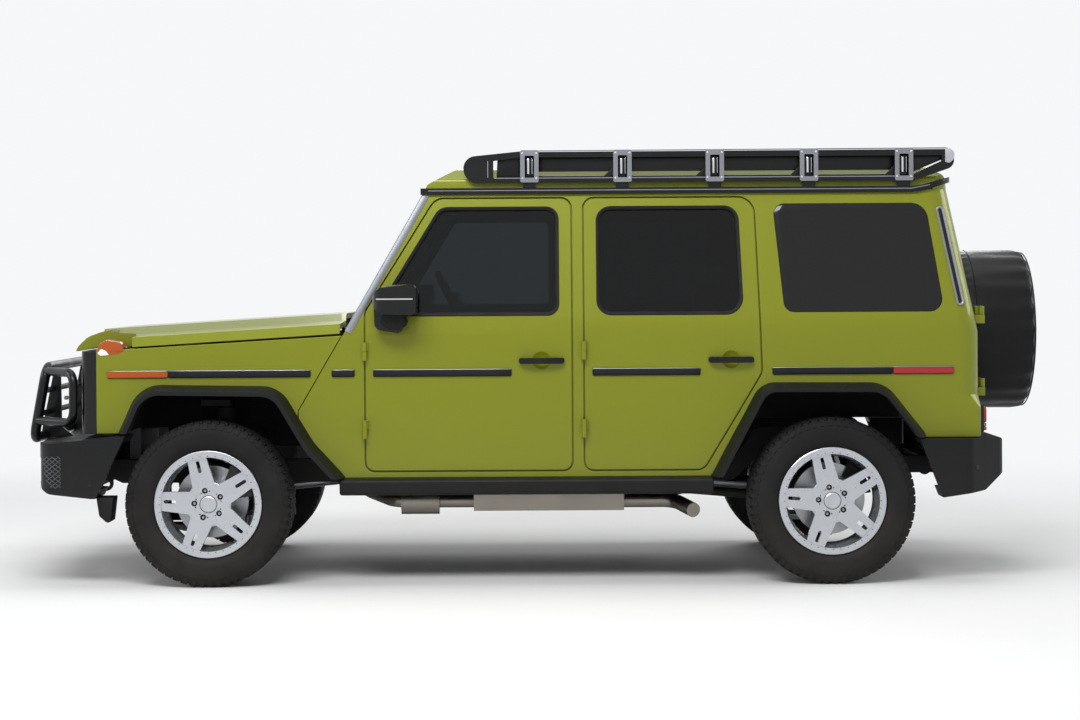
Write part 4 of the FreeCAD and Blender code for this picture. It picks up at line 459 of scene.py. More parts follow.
# %% Boxes and turned forms
def box_mesh(low, high, bevel=0.0, segments=2):
    bm = bmesh.new()
    bmesh.ops.create_cube(bm, size=1)
    low, high = Vector(low), Vector(high)
    for vert in bm.verts:
        vert.co = Vector(low[i] + (vert.co[i] + 0.5) * (high[i] - low[i]) for i in range(3))
    if bevel:
        bmesh.ops.bevel(bm, geom=bm.edges, offset=bevel, segments=segments, affect="EDGES", profile=0.5)
    return mesh_from(bm, "box")


def circle(count):
    """The angles of evenly spaced points round a circle."""
    return [2 * math.pi * i / count for i in range(count)]


def turned_mesh(profile, centre=(0, 0, 0), axis="Y", steps=64, closed=True):
    """A lathe form: (along, radius) points turned about an axis through centre."""
    bm = bmesh.new()
    rings = []
    for a in circle(steps):
        ring = []
        for along, radius in profile:
            u, v = radius * math.cos(a), radius * math.sin(a)
            place = {"X": (along, u, v), "Y": (u, along, v), "Z": (u, v, along)}[axis]
            ring.append(bm.verts.new(Vector(place) + Vector(centre)))
        rings.append(ring)
    bridge(bm, rings, True, closed, False)
    bmesh.ops.remove_doubles(bm, verts=bm.verts, dist=1e-6)
    return mesh_from(bm, "turned", True)


print("boxes and turned forms ready")


# %% Bars along a path
def sweep_mesh(points, radius=0.01, closed=False, steps=12, profile=None, up=None):
    """A bar along a path: round, or with a profile of (across, up) points, with closed ends."""
    bm = bmesh.new()
    points = [Vector(p) for p in points]
    count = len(points)
    section = profile or [(radius * math.cos(a), radius * math.sin(a)) for a in circle(steps)]
    rings = []
    normal = None
    for i, point in enumerate(points):
        before = points[i - 1] if (i or closed) else points[i]
        after = points[(i + 1) % count] if (i < count - 1 or closed) else points[i]
        along = (after - before).normalized()
        if up is not None:
            normal = Vector(up) - along * Vector(up).dot(along)
        elif normal is None:
            normal = along.orthogonal()
        else:
            normal = normal - along * normal.dot(along)
        normal.normalize()
        side = along.cross(normal).normalized()
        rings.append([bm.verts.new(point + side * a + normal * b) for a, b in section])
    bridge(bm, rings, closed, True, not closed)
    return mesh_from(bm, "sweep", True)


def rounded_path(points, closed=False, steps=6):
    """Points (vector, bend radius) with each corner turned into an arc."""
    result = []
    count = len(points)
    for i, (here, bend) in enumerate(points):
        here = Vector(here)
        if bend <= 0 or (not closed and i in (0, count - 1)):
            result.append(here)
            continue
        before, after = Vector(points[i - 1][0]), Vector(points[(i + 1) % count][0])
        one, two = (before - here).normalized(), (after - here).normalized()
        half = one.angle(two) / 2
        reach = bend / math.tan(half)
        centre = here + (one + two).normalized() * (bend / math.sin(half))
        start, end = here + one * reach, here + two * reach
        for step in range(steps + 1):
            spot = start.lerp(end, step / steps) - centre
            result.append(centre + spot.normalized() * bend)
    return result


print("bars ready")


# %% Plates with an outline
def plate_mesh(outline, depth, place, bevel=0.0):
    """A flat outline of (u, v) points given thickness; place(u, v, w) puts it in space."""
    bm = bmesh.new()
    front, back = [[bm.verts.new(place(u, v, w)) for u, v in outline] for w in (0.0, depth)]
    bm.faces.new(front)
    bm.faces.new(list(reversed(back)))
    for i in range(len(outline)):
        j = (i + 1) % len(outline)
        bm.faces.new((front[i], back[i], back[j], front[j]))
    bmesh.ops.recalc_face_normals(bm, faces=bm.faces)
    if bevel:
        rim = [e for e in bm.edges if len(e.link_faces) == 2 and e.calc_face_angle(0) > 0.6]
        bmesh.ops.bevel(bm, geom=rim, offset=bevel, segments=2, affect="EDGES", profile=0.5)
    return mesh_from(bm, "plate")


def round_outline(points, steps=5):
    """(u, v, corner radius) points as a plain outline with rounded corners."""
    path = rounded_path([((p[0], p[1], 0.0), p[2] if len(p) > 2 else 0.0) for p in points], True, steps)
    return [(p.x, p.y) for p in path]


print("plates ready")

# %% [markdown]
# Geometry Nodes put the same small thing in many places: tread blocks round a tyre, bolts round a hub,
# wires in a mesh. One tree does each kind of pattern. Its inputs have names and its result is made real and
# turned into a plain mesh, because an instance isn't a piece of its own.

# %% Node trees: copies of one piece round an axle, and on a grid
def copies_out(tree, inp, out, points, turns=None):
    """Ends a pattern tree: the piece on each point, made real, in its finish."""
    copies = put(tree, "GeometryNodeInstanceOnPoints")
    real = put(tree, "GeometryNodeRealizeInstances")
    coat = put(tree, "GeometryNodeSetMaterial")
    wire(tree, (points, 0, copies, "Points"), (inp, "Geometry", copies, "Instance"), (copies, 0, real, 0),
         (real, 0, coat, "Geometry"), (inp, "Finish", coat, "Material"), (coat, 0, out, 0))
    if turns:
        wire(tree, (turns, 0, copies, "Rotation"))


def ring_pattern_tree():
    tree, inp, out = new_group(
        "Copies round an axle", "GeometryNodeTree",
        [("Geometry", "Geometry"), ("Count", "Int"), ("Start Angle", "Float"), ("Finish", "Material")],
        [("Geometry", "Geometry")],
    )
    points = put(tree, "GeometryNodePoints")
    index = put(tree, "GeometryNodeInputIndex")
    share, turn = put_math(tree, "DIVIDE"), put_math(tree, "MULTIPLY_ADD")
    turn.inputs[1].default_value = 2 * math.pi
    angles = put(tree, "ShaderNodeCombineXYZ")
    wire(tree, (inp, "Count", points, "Count"), (index, 0, share, 0), (inp, "Count", share, 1),
         (share, 0, turn, 0), (inp, "Start Angle", turn, 2), (turn, 0, angles, "Y"))
    copies_out(tree, inp, out, points, angles)
    return tree


def grid_pattern_tree():
    tree, inp, out = new_group(
        "Copies on a grid", "GeometryNodeTree",
        [("Geometry", "Geometry"), ("Columns", "Int"), ("Rows", "Int"), ("Step U", "Vector"),
         ("Step V", "Vector"), ("Finish", "Material")],
        [("Geometry", "Geometry")],
    )
    rows, columns = put(tree, "GeometryNodeMeshLine"), put(tree, "GeometryNodeMeshLine")
    spread = put(tree, "GeometryNodeInstanceOnPoints")
    flat = put(tree, "GeometryNodeRealizeInstances")
    wire(tree, (inp, "Rows", rows, "Count"), (inp, "Step V", rows, "Offset"),
         (inp, "Columns", columns, "Count"), (inp, "Step U", columns, "Offset"),
         (rows, 0, spread, "Points"), (columns, 0, spread, "Instance"), (spread, 0, flat, 0))
    copies_out(tree, inp, out, flat)
    return tree


RING_TREE = ring_pattern_tree()
GRID_TREE = grid_pattern_tree()


def patterned(mesh, tree, **values):
    """The mesh that a pattern tree makes from one piece; values are its named inputs."""
    obj = scene_object("pattern", mesh)
    pattern = obj.modifiers.new("pattern", "NODES")
    pattern.node_group = tree
    for socket in tree.interface.items_tree:
        key = socket.name.replace(" ", "_")
        if socket.in_out == "INPUT" and key in values:
            pattern[socket.identifier] = values[key]
    result = evaluated_mesh(obj)
    bpy.data.objects.remove(obj)
    return result


print("pattern trees:", RING_TREE.name, GRID_TREE.name)

# %% [markdown]
# A strip, seal or handle has to lie on the panel it belongs to, and the panels lean and bulge. So places on
# the side of the body are found with a ray: it starts outside, flies inwards, and stops on the frame's
# skin.

# %% Finding the skin of the body
OUTSIDE_Y = 1.5


def skin_tree(*names):
    """The meshes of some frame nodes as one tree that rays can be cast at."""
    verts, faces = [], []
    for name in names:
        mesh = nodes[name].data
        start = len(verts)
        verts.extend(v.co.copy() for v in mesh.vertices)
        faces.extend([start + i for i in p.vertices] for p in mesh.polygons)
    return BVHTree.FromPolygons(verts, faces)


def from_side(skin, x, z):
    """Where a ray from the left meets a skin, as (place, normal), or two Nones where it misses."""
    return skin.ray_cast(Vector((x, OUTSIDE_Y, z)), Vector((0, -1, 0)))[:2]


SIDE = skin_tree("body_sides", "front_fenders", "door_front_left", "door_rear_left", "glass_front_left",
                 "glass_rear_left", "fixed_glass")


def on_side(x, z):
    return Vector((x, from_side(SIDE, x, z)[0].y, z))


def two_tone(obj, material, chosen):
    """Gives a second finish to the faces whose centre and normal pass chosen(centre, normal)."""
    obj.data.materials.append(material)
    slot = len(obj.data.materials) - 1
    for polygon in obj.data.polygons:
        if chosen(polygon.center, polygon.normal):
            polygon.material_index = slot
    return obj


print("side skin at the belt:", round(on_side(0.3, 1.1).y, 3))

# %% [markdown]
# The pressed panels come first. The outside of each is body paint, and the side that faces the cabin is
# trim, so a second finish goes to the faces that look inwards.

# %% Doors, fenders, hood, roof and tailgate
DOORS = ("door_front_left", "door_front_right", "door_rear_left", "door_rear_right")
PRESSED = ("body_sides", "front_fenders", "hood", "roof_panel", "windscreen_frame", "rear_frame", "tailgate")
painted = {node: panel(node, PAINT, 0.0035) for node in PRESSED + DOORS}
print("painted panels:", sorted(painted))

# %% Second finishes on the painted panels
ROOF_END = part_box("roof_panel")[0][0] + 0.005
ROOF_EDGE = 0.7625
ROOF_CORNER, GUTTER_START = 0.105, 0.1072
DOOR_SKIN_Y, DOOR_LEAN = 0.872, 0.0158


def on_gutter(c, n):
    """True for the black drip channel that runs along the roof's sides and wraps round its rear corners."""
    if c.z > HUB_Z + 1.497:
        return False
    across, behind = abs(c.y) - (ROOF_EDGE - ROOF_CORNER), ROOF_END + ROOF_CORNER - c.x
    if across > 0 and behind > 0:
        return math.hypot(across, behind) > GUTTER_START
    return across > GUTTER_START or behind > GUTTER_START


def on_handle(c, n):
    """True for a door's grip, which stands out past the leaning skin round it."""
    skin = DOOR_SKIN_Y + DOOR_LEAN * (c.z - HUB_Z - 0.401)
    return abs(c.y) > skin + 0.0015 and abs(c.z - HUB_Z - 0.655) < 0.05


def faces_cabin(c, n):
    return n.y * (1 if c.y > 0 else -1) < -0.5


two_tone(painted["roof_panel"], SATIN, on_gutter)
two_tone(painted["roof_panel"], LINING, lambda c, n: n.z < -0.4 and abs(c.y) < 0.75)
for node in DOORS:
    two_tone(painted[node], CABIN, faces_cabin)
    two_tone(painted[node], SATIN, on_handle)
two_tone(painted["body_sides"], CABIN, lambda c, n: abs(c.y) < 0.81 and faces_cabin(c, n))
two_tone(painted["windscreen_frame"], CABIN, lambda c, n: n.x < -0.3 or (abs(c.y) < 0.70 and abs(n.y) > 0.6))
two_tone(painted["windscreen_frame"], SATIN, lambda c, n: c.z < HUB_Z + 0.80)
print("second finishes on:", len(DOORS) + 3, "panels")

# %% [markdown]
# The rest of the body and chassis is moulded plastic, castings and welded steel. Their shapes are right in
# the frame, so modelling them again would gain nothing. Each only gets the edge radius that its making
# leaves: wide on a moulding or a casting, and narrow on cut and folded steel.

# %% Plain trim, chassis and cabin pieces that keep the frame's shape
trim = {
    PLASTIC: {"front_bumper": 0.012, "rear_bumper": 0.012, "arch_flares": 0.005, "sill_covers": 0.008},
    GLOSS: {"front_panel": 0.006, "grille": 0.004, "mirror_left": 0.014, "mirror_right": 0.014},
    LINER: {"arch_liners": 0.004, "fuel_tank": 0.02},
    CHASSIS: {"ladder_frame": 0.006, "cross_members": 0.004, "rear_axle": 0.005, "front_suspension": 0.004,
              "rear_suspension": 0.004},
    CAST: {"engine_and_gearbox": 0.015, "front_differential": 0.006, "steering_rack": 0.003,
           "knuckle_left": 0.004, "knuckle_right": 0.004},
    STEEL: {"track_rod": 0.002, "propeller_shafts": 0.002},
    EXHAUST: {"exhaust": 0.008},
    CARPET: {"load_floor": 0.004, "floor_pan": 0.004},
    CABIN: {"dashboard": 0.012},
}
fitted = {}
for material, group in trim.items():
    for node, bevel in group.items():
        fitted[node] = panel(node, material, bevel)
two_tone(fitted["floor_pan"], CHASSIS, lambda c, n: n.z < -0.5 or c.x > AXLE_F.x - 0.66)
two_tone(fitted["load_floor"], CHASSIS, lambda c, n: n.z < -0.5)
print("trim and chassis:", len(fitted))

# %% [markdown]
# Window glass is a thin tinted sheet with polished edges, darker behind the front doors. The frame's panes
# are solids of the right thickness already, so they keep their shape and only take a glass material.

# %% Glass
panes = {"glass_front_left": GLASS, "glass_front_right": GLASS, "fixed_glass": GLASS,
         "tailgate_glass": DARK_GLASS, "glass_rear_left": DARK_GLASS, "glass_rear_right": DARK_GLASS}
for node, material in panes.items():
    nodes[node].data.materials.clear()
    nodes[node].data.materials.append(material)
print("glass panes that keep the frame's shape:", len(panes))

# %% [markdown]
# A tyre is a turned carcass with rubber blocks standing on it. The blocks repeat round the tyre, so one
# block of each row is made and the ring pattern copies it. The rows are staggered, as a real tread is, so
# that blocks don't all strike the road together.

# %% The tyre's carcass
tyre_low, tyre_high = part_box("tyre_front_left")
TYRE_R = (tyre_high[2] - tyre_low[2]) / 2
TYRE_HALF = (tyre_high[1] - tyre_low[1]) / 2
BEAD_R = 0.2365
TREAD_DEPTH = 0.0095
BLOCKS_ROUND = 60


def tyre_carcass():
    base, half = TYRE_R - TREAD_DEPTH, TYRE_HALF
    outer = [
        (0.0955, BEAD_R), (0.0995, 0.2518), (0.113, 0.2542), (0.121, 0.2638), (0.1275, 0.2746),
        (0.1305, 0.2874), (half - 0.0008, 0.3003), (half, 0.3110), (half - 0.0006, 0.3238),
        (half - 0.0026, 0.3367), (half - 0.006, 0.3496), (half - 0.0105, 0.3619), (half - 0.017, base - 0.003),
        (half - 0.028, base + 0.0008), (half - 0.05, base + 0.002), (0.04, base + 0.0025),
    ]
    whole = outer + [(-a, r) for a, r in reversed(outer)]
    inner = [(0.102, base - 0.015), (0.11, 0.3), (0.06, BEAD_R + 0.016), (0.06, BEAD_R)]
    return turned_mesh(whole + [(-a, r) for a, r in reversed(inner)] + inner, steps=120)


print("tyre radius and half width:", round(TYRE_R, 4), round(TYRE_HALF, 4))


# %% Tread blocks and shoulder lugs
def tread_block(y_low, y_high, length, skew, ease=0.0012):
    """One rubber block at the top of the tyre: wider at its foot, with a slanted lead edge."""
    foot = TYRE_R - TREAD_DEPTH - 0.002
    bm = bmesh.new()
    rows = []
    for r, grow in ((foot, ease), (TYRE_R - ease, 0.0), (TYRE_R, -ease)):
        row = []
        for y, x in ((y_low, -length / 2), (y_high, -length / 2), (y_high, length / 2), (y_low, length / 2)):
            gx = x + (grow if x > 0 else -grow) + skew * (y - (y_low + y_high) / 2)
            gy = y + (grow if y == y_high else -grow)
            row.append(bm.verts.new((gx, gy, math.sqrt(r * r - gx * gx))))
        rows.append(row)
    bridge(bm, rows)
    return mesh_from(bm, "block", True)


def shoulder_lug(side, half_length=0.0105):
    """The bar that runs from the outer row down over the tyre's shoulder."""
    half = TYRE_HALF
    section = [(half - 0.030, TYRE_R - 0.001), (half - 0.020, TYRE_R - 0.004), (half - 0.0085, 0.3684),
               (half - 0.002, 0.3506), (half - 0.006, 0.3491), (half - 0.03, 0.3603)]
    bm = bmesh.new()
    bridge(bm, [[bm.verts.new((x, side * y, math.sqrt(r * r - x * x))) for y, r in section]
                for x in (-half_length, half_length)])
    return mesh_from(bm, "lug", True)


def one_finish(mesh, material):
    """Leaves a mesh with a single finish, whatever its parts had."""
    mesh.materials.clear()
    mesh.materials.append(material)
    for polygon in mesh.polygons:
        polygon.material_index = 0


def tyre_mesh():
    pitch = 2 * math.pi / BLOCKS_ROUND
    step = pitch * TYRE_R
    rows = [(-0.014, 0.014, step - 0.005, 0.25, 0.0), (0.021, 0.056, step - 0.006, -0.35, 0.5),
            (-0.056, -0.021, step - 0.006, -0.35, 0.5), (0.064, 0.103, step - 0.008, 0.2, 0.0),
            (-0.103, -0.064, step - 0.008, 0.2, 0.0)]  # from, to, length, skew, lag
    staggered = [(tread_block(*row), lag) for *row, lag in rows]
    staggered += [(shoulder_lug(side), 0.25) for side in (-1, 1)]
    parts = [tyre_carcass()]
    for block, lag in staggered:
        parts.append(patterned(block, RING_TREE, Count=BLOCKS_ROUND, Start_Angle=lag * pitch, Finish=TYRE))
    mesh = merged("tyre", parts)
    one_finish(mesh, TYRE)
    smooth_by_angle(mesh, 30)
    return mesh


WHEELS = ("front_left", "front_right", "rear_left", "rear_right")
tyre_form = tyre_mesh()
for wheel in WHEELS:
    mesh = tyre_form.copy()
    mesh.transform(Matrix.Translation(middle("tyre_" + wheel)))
    piece = mesh_object("tyre_" + wheel + "_tread", mesh, None, "wheel_" + wheel)
    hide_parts("tyre_" + wheel)
print("tyre faces:", len(tyre_form.polygons))

# %% [markdown]
# The alloy wheel keeps the frame's five spokes, with their edges rolled. What a wheel has on top of that is
# small: nuts in the hub's pockets, a plain centre cap and a ring of little studs round the rim's lip. The
# disc behind the spokes is part of the same node, so it gets its own finish by its place.

# %% Nuts, caps and studs of one wheel
HUB_Y = 0.819
HUB_FACE = 0.098
SPOKE_FACE = 0.104
LIP_R, LIP_FACE = 0.2245, 0.116


def ringed(profile, offset, count, start, steps):
    """Copies of a small turned form round the hub, at offset from its axis."""
    return patterned(turned_mesh(profile, (0, 0, offset), "Y", steps, False), RING_TREE, Count=count,
                     Start_Angle=math.radians(start), Finish=BRIGHT)


def hub_details():
    """What each wheel has on top of its spokes, as (finish, mesh) pairs in the hub's own place."""
    hub, spoke, lip = HUB_FACE, SPOKE_FACE, LIP_FACE
    nut = [(0.080, 0.0), (0.094, 0.0), (0.0965, 0.004), (0.0965, 0.0065), (0.094, 0.0078), (0.080, 0.0078)]
    pocket = [(0.076, 0.0), (0.084, 0.0), (0.084, 0.0098), (spoke + 0.0005, 0.0098), (spoke + 0.0005, 0.0132),
              (spoke - 0.003, 0.0132), (0.076, 0.0104)]
    small = [(hub - 0.004, 0.0), (hub + 0.0005, 0.0), (hub + 0.0005, 0.004), (hub - 0.004, 0.004)]
    stud = [(lip - 0.003, 0.0), (lip + 0.0008, 0.0), (lip + 0.0002, 0.0026), (lip - 0.003, 0.0026)]
    cap = [(hub - 0.002, 0.0375), (hub + 0.003, 0.0375), (hub + 0.0055, 0.034), (hub + 0.0062, 0.028),
           (hub + 0.0045, 0.024), (hub + 0.0045, 0.0)]
    groove = [(hub - 0.001, 0.041), (hub + 0.0006, 0.041), (hub + 0.0006, 0.0385), (hub - 0.001, 0.0385)]
    return [
        (ALLOY, turned_mesh(cap, steps=48, closed=False)), (LINER, turned_mesh(groove, steps=48)),
        (LINER, ringed(pocket, 0.065, 5, 86, 20)), (STEEL, ringed(nut, 0.065, 5, 86, 6)),
        (LINER, ringed(small, 0.062, 10, 104, 12)), (CAST, ringed(stud, LIP_R, 40, 0, 10)),
    ]


print("hub, spoke and lip faces:", HUB_FACE, SPOKE_FACE, LIP_FACE)

# %% Alloy wheels with their discs
DISC_R = 0.17
for wheel in WHEELS:
    side = 1 if wheel.endswith("left") else -1
    hub = middle("rim_" + wheel)
    piece = panel("rim_" + wheel, ALLOY, 0.0035, angle=25, name="alloy_" + wheel)
    inner = hub.y - side * 0.035

    def on_disc(c, n):
        return (c.y - inner) * side < 0 and math.hypot(c.x - hub.x, c.z - hub.z) < DISC_R

    two_tone(piece, STEEL, on_disc)
    for material, mesh in hub_details():
        if side < 0:
            mesh = mirrored_mesh(mesh)
        mesh.transform(Matrix.Translation((hub.x, HUB_Y * side, hub.z)))
        one_finish(mesh, material)
        smooth_by_angle(mesh)
        mesh_object("hub_" + wheel + "_" + material.name.replace(" ", "_"), mesh, None, "wheel_" + wheel)
print("wheels:", len(WHEELS))

# %% [markdown]
# Trim on the sides: rub strips, window seals, the slot in the rear post and the lines of bright metal.
# Every place is measured from the front axle, in millimetres backwards and upwards from the hub, and what
# is made for the left side is mirrored to the right. Small pieces of one finish on one body become one
# mesh.

# %% Placing small trim
def at_x(u):
    return AXLE_F.x + u / 1000


def at_z(v):
    return HUB_Z + v / 1000


def at(u, y, v):
    """A place: u and v in millimetres from the front hub, y in metres from the middle plane."""
    return Vector((at_x(u), y, at_z(v)))


BELT_Y, BELT_V = 0.868, 861  # where the upper side of the body starts
UPPER_LEAN, UPPER_RISE = 0.1, 584  # how far it leans in, over that height


def pane_place(u, v, out):
    """A point on the leaning upper side of the body, out millimetres off it."""
    return at(u, BELT_Y - UPPER_LEAN * (v - BELT_V) / UPPER_RISE + out / 1000, v)


kit = {}


def add(body, material, *meshes):
    """Puts meshes with what one body gets in one finish."""
    kit.setdefault((body, material), []).extend(meshes)


def add_both(body, material, *meshes):
    """The same, with a twin of each mesh on the other side."""
    add(body, material, *meshes)
    add(body.replace("left", "right"), material, *[mirrored_mesh(mesh) for mesh in meshes])


def place_kit(label):
    for (body, material), parts in kit.items():
        joined(label + "_" + body + "_" + material.name.replace(" ", "_"), parts, material, body)
    print(label, "pieces:", len(kit))
    kit.clear()


print("front axle and a wheelbase behind it:", round(at_x(0), 4), round(at_x(-2890), 4))


# %% Bands and plates that follow an outline
def grown(outline, distance):
    """A convex outline of (u, v) points moved outwards by distance."""
    result = []
    centre = Vector((sum(p[0] for p in outline), sum(p[1] for p in outline))) / len(outline)
    for i, point in enumerate(outline):
        before, after = Vector(outline[i - 1]), Vector(outline[(i + 1) % len(outline)])
        here = Vector(point)
        normal = (here - before).normalized() + (after - here).normalized()
        normal = Vector((normal.y, -normal.x)).normalized()
        if normal.dot(here - centre) < 0:
            normal = -normal
        result.append(tuple(here + normal * distance))
    return result


def levels(bm, outline, section, place):
    """One ring of points for each (outwards in the plane, off the plane) of a section."""
    return [[bm.verts.new(place(u, v, out)) for u, v in grown(outline, grow)] for grow, out in section]


def band_mesh(outline, section, place):
    """A closed band round an outline, with a closed section."""
    bm = bmesh.new()
    bridge(bm, levels(bm, outline, section, place), True, caps=False)
    return mesh_from(bm, "band", True)


def flush_plate(outline, low, high, place, round_off=1.0):
    """A plate between two heights off the surface, with its upper edge eased."""
    bm = bmesh.new()
    section = ((0.0, low), (0.0, high - round_off), (-round_off, high))
    bridge(bm, levels(bm, outline, section, place))
    return mesh_from(bm, "plate", True)


print("bands and plates ready")

# %% [markdown]
# A window seal is one rubber section, pushed out of a die and bent round the opening. A bevelled copy of
# the pane could stand for it, but a band that carries the section round the outline has its lips as well.
# The rear quarter pane is glued from outside over a black band, so it is a plate that stands a little
# proud. The plate is opaque and near black: the dark tint of privacy glass, with painted shade standing
# for the dark load space behind it.

# %% Window seals, rear quarter panes and post slots
WINDOWS = {
    "door_front_left": [(-777, 873, 20), (-1078, 1365, 60), (-1621, 1365, 50), (-1621, 873, 45)],
    "door_rear_left": [(-1813, 873, 60), (-1813, 1365, 60), (-2462, 1365, 60), (-2480, 873, 70)],
}
QUARTER_PANE = [(-2679, 873, 50), (-2632, 1382, 50), (-3350, 1382, 80), (-3424, 873, 60)]
POST_SLOT = [(-3487, 904, 12), (-3402, 1358, 12), (-3428, 1363, 12), (-3513, 909, 12)]
SEAL = [(9, -3), (9.5, 1.5), (7, 4), (-2, 4), (-7, 1), (-8, -11.5), (-4, -11.8), (-4, -3)]
INNER_FRAME = [(-7, -20), (-24, -22), (-30, -34), (-30, -58), (-2, -58), (-2, -20)]
PANE_BAND = [(-1.5, -9.5), (-1.5, -1.5), (-3, -0.5), (-30, -0.5), (-30, -9.5)]
SLOT_RIM = [(5, -4), (5, 1.5), (3, 3), (-1, 3), (-5, 0.5), (-6, -8.5)]
for body, window in WINDOWS.items():
    outline = round_outline(window, 7)
    add_both(body, RUBBER, band_mesh(outline, SEAL, pane_place))
    add_both(body, CABIN, band_mesh(outline, INNER_FRAME, pane_place))
quarter, slot = round_outline(QUARTER_PANE, 8), round_outline(POST_SLOT, 4)
add_both("body", GLOSS, band_mesh(quarter, PANE_BAND, pane_place))
# An opaque near-black plate over the pane: privacy glass tint plus painted shade of the load space behind it.
add_both("body", PRIVACY_TINT_AND_SHADE, flush_plate(grown(quarter, -30), -9.5, -0.6, pane_place, 0.3))
add_both("body", GREY, band_mesh(slot, SLOT_RIM, pane_place))
add_both("body", GLOSS, flush_plate(grown(slot, -5.5), -12.0, -7.5, pane_place))
print("seals and quarter panes: pieces so far", len(kit))

# %% [markdown]
# The strips along the flanks are rubber mouldings with a bright line on top and a lamp at each end. The
# flanks bulge, so a straight bar would sink in or float. The path of each strip is taken from the skin
# itself, and its ends taper over the last few millimetres, as a moulded end does.

# %% Rub strips with their lamps and bright line
STRIP_V = 600
STRIPS = (  # body, front end, rear end, finish
    ("body", 474, 191, AMBER), ("body", 190, -473, PLASTIC), ("body", -571, -678, PLASTIC),
    ("door_front_left", -764, -1407, PLASTIC), ("door_rear_left", -1783, -2285, PLASTIC),
    ("body", -2619, -3180, PLASTIC), ("body", -3181, -3462, RED),
)
STRIP_SECTION = [(-0.004, -0.0165), (0.006, -0.0165), (0.0115, -0.012), (0.013, 0.0), (0.0115, 0.012),
                 (0.006, 0.0165), (-0.004, 0.0165)]
LINE_SECTION = [(0.0015, 0.0146), (0.0078, 0.0146), (0.0096, 0.0160), (0.0084, 0.0182), (0.0015, 0.0184)]
LAMP_BASE = [(a - 0.0035 if a > 0 else a, b * 1.09) for a, b in STRIP_SECTION]


def side_path(front, rear, v, steps=8):
    """Points along the skin between two places, from the front backwards."""
    return [on_side(at_x(front + (rear - front) * i / steps), at_z(v)) for i in range(steps + 1)]


def capped(path, section, ends=0.006):
    """A sweep along path whose last few millimetres taper, so that its ends aren't sawn off."""
    share = ends / (path[-1] - path[0]).length
    first, last = path[0].lerp(path[-1], share), path[-1].lerp(path[0], share)
    mesh = sweep_mesh([path[0], first] + path[1:-1] + [last, path[-1]], profile=section, up=(0, 0, 1))
    count = len(section)
    for ring in (0, len(path) + 1):
        verts = mesh.vertices[ring * count:(ring + 1) * count]
        centre = sum((v.co for v in verts), Vector()) / count
        for v in verts:
            v.co = centre + (v.co - centre) * 0.72
            v.co.y -= 0.002
    return mesh


for body, front, rear, material in STRIPS:
    path = side_path(front, rear, STRIP_V)
    add_both(body, material, capped(path, STRIP_SECTION))
    add_both(body, GREY, capped(path, LINE_SECTION))
    if material in (AMBER, RED):
        add_both(body, PLASTIC, capped(path, LAMP_BASE))
place_kit("side_trim")

# %% Painted highlight in the drip channel, as a thin grey line
ROOF = skin_tree("roof_panel")
CHANNEL_U, CHANNEL_LENGTH, CHANNEL_STEPS = -1020, 2425, 30
CHANNEL_V = 1450
CLIMB_U, CLIMB = -3315, 46 / 150  # the line climbs over the roof's rear corner


def rect(wide, tall):
    """A bar's section: half width and half height each way."""
    return [(-wide, -tall), (wide, -tall), (wide, tall), (-wide, tall)]


channel = []
for i in range(CHANNEL_STEPS + 1):
    u = CHANNEL_U - CHANNEL_LENGTH * i / CHANNEL_STEPS
    v = CHANNEL_V + CLIMB * max(0.0, CLIMB_U - u)
    spot = from_side(ROOF, at_x(u), at_z(v))[0]
    if spot is not None and spot.y > 0.7:
        channel.append(spot + Vector((0, 0.0012, 0)))
# A thin grey bar along the middle of the black channel: a painted highlight where the channel's curved floor
# catches the light.
add_both("body", GREY, sweep_mesh(channel, profile=rect(0.0015, 0.002), up=(0, 0, 1)))
place_kit("drip_channel")

# %% [markdown]
# Each post beside the windscreen is capped with a bright moulding, and two wipers lie on the glass. A wiper
# is a bent arm, a pivot cap, a rubber blade and its back. They lie close to the glass, because the open
# hood's rear edge swings past them.

# %% Windscreen post trim, wipers and cowl
SCREEN_UP = (1, 0, 0.5)
SCREEN_U, SCREEN_V = -625, 780  # the windscreen's foot
SCREEN_BACK, SCREEN_RISE = 377, 665  # how far it leans back, over that height
POST_SECTION = [(-0.006, -0.017), (0.0035, -0.017), (0.006, -0.011), (0.006, 0.010), (0.002, 0.016),
                (-0.006, 0.017)]
BLADE_RUBBER = [(-0.004, -0.010), (0.004, -0.010), (0.006, 0.006), (-0.006, 0.006)]
BLADE_BACK = [(-0.008, 0.005), (0.008, 0.005), (0.004, 0.014), (-0.004, 0.014)]
PIVOT_CAP = [(-0.02, 0), (-0.02, 0.017), (0.012, 0.017), (0.018, 0.012), (0.018, 0)]


def screen_front(v):
    """How far behind the front axle the windscreen is at a height above the hub."""
    return SCREEN_U - SCREEN_BACK * (v - SCREEN_V) / SCREEN_RISE


def on_screen(y, v, out):
    return Vector((at_x(screen_front(v) - 6 + out * 0.87), y, at_z(v) + out * 0.0005))


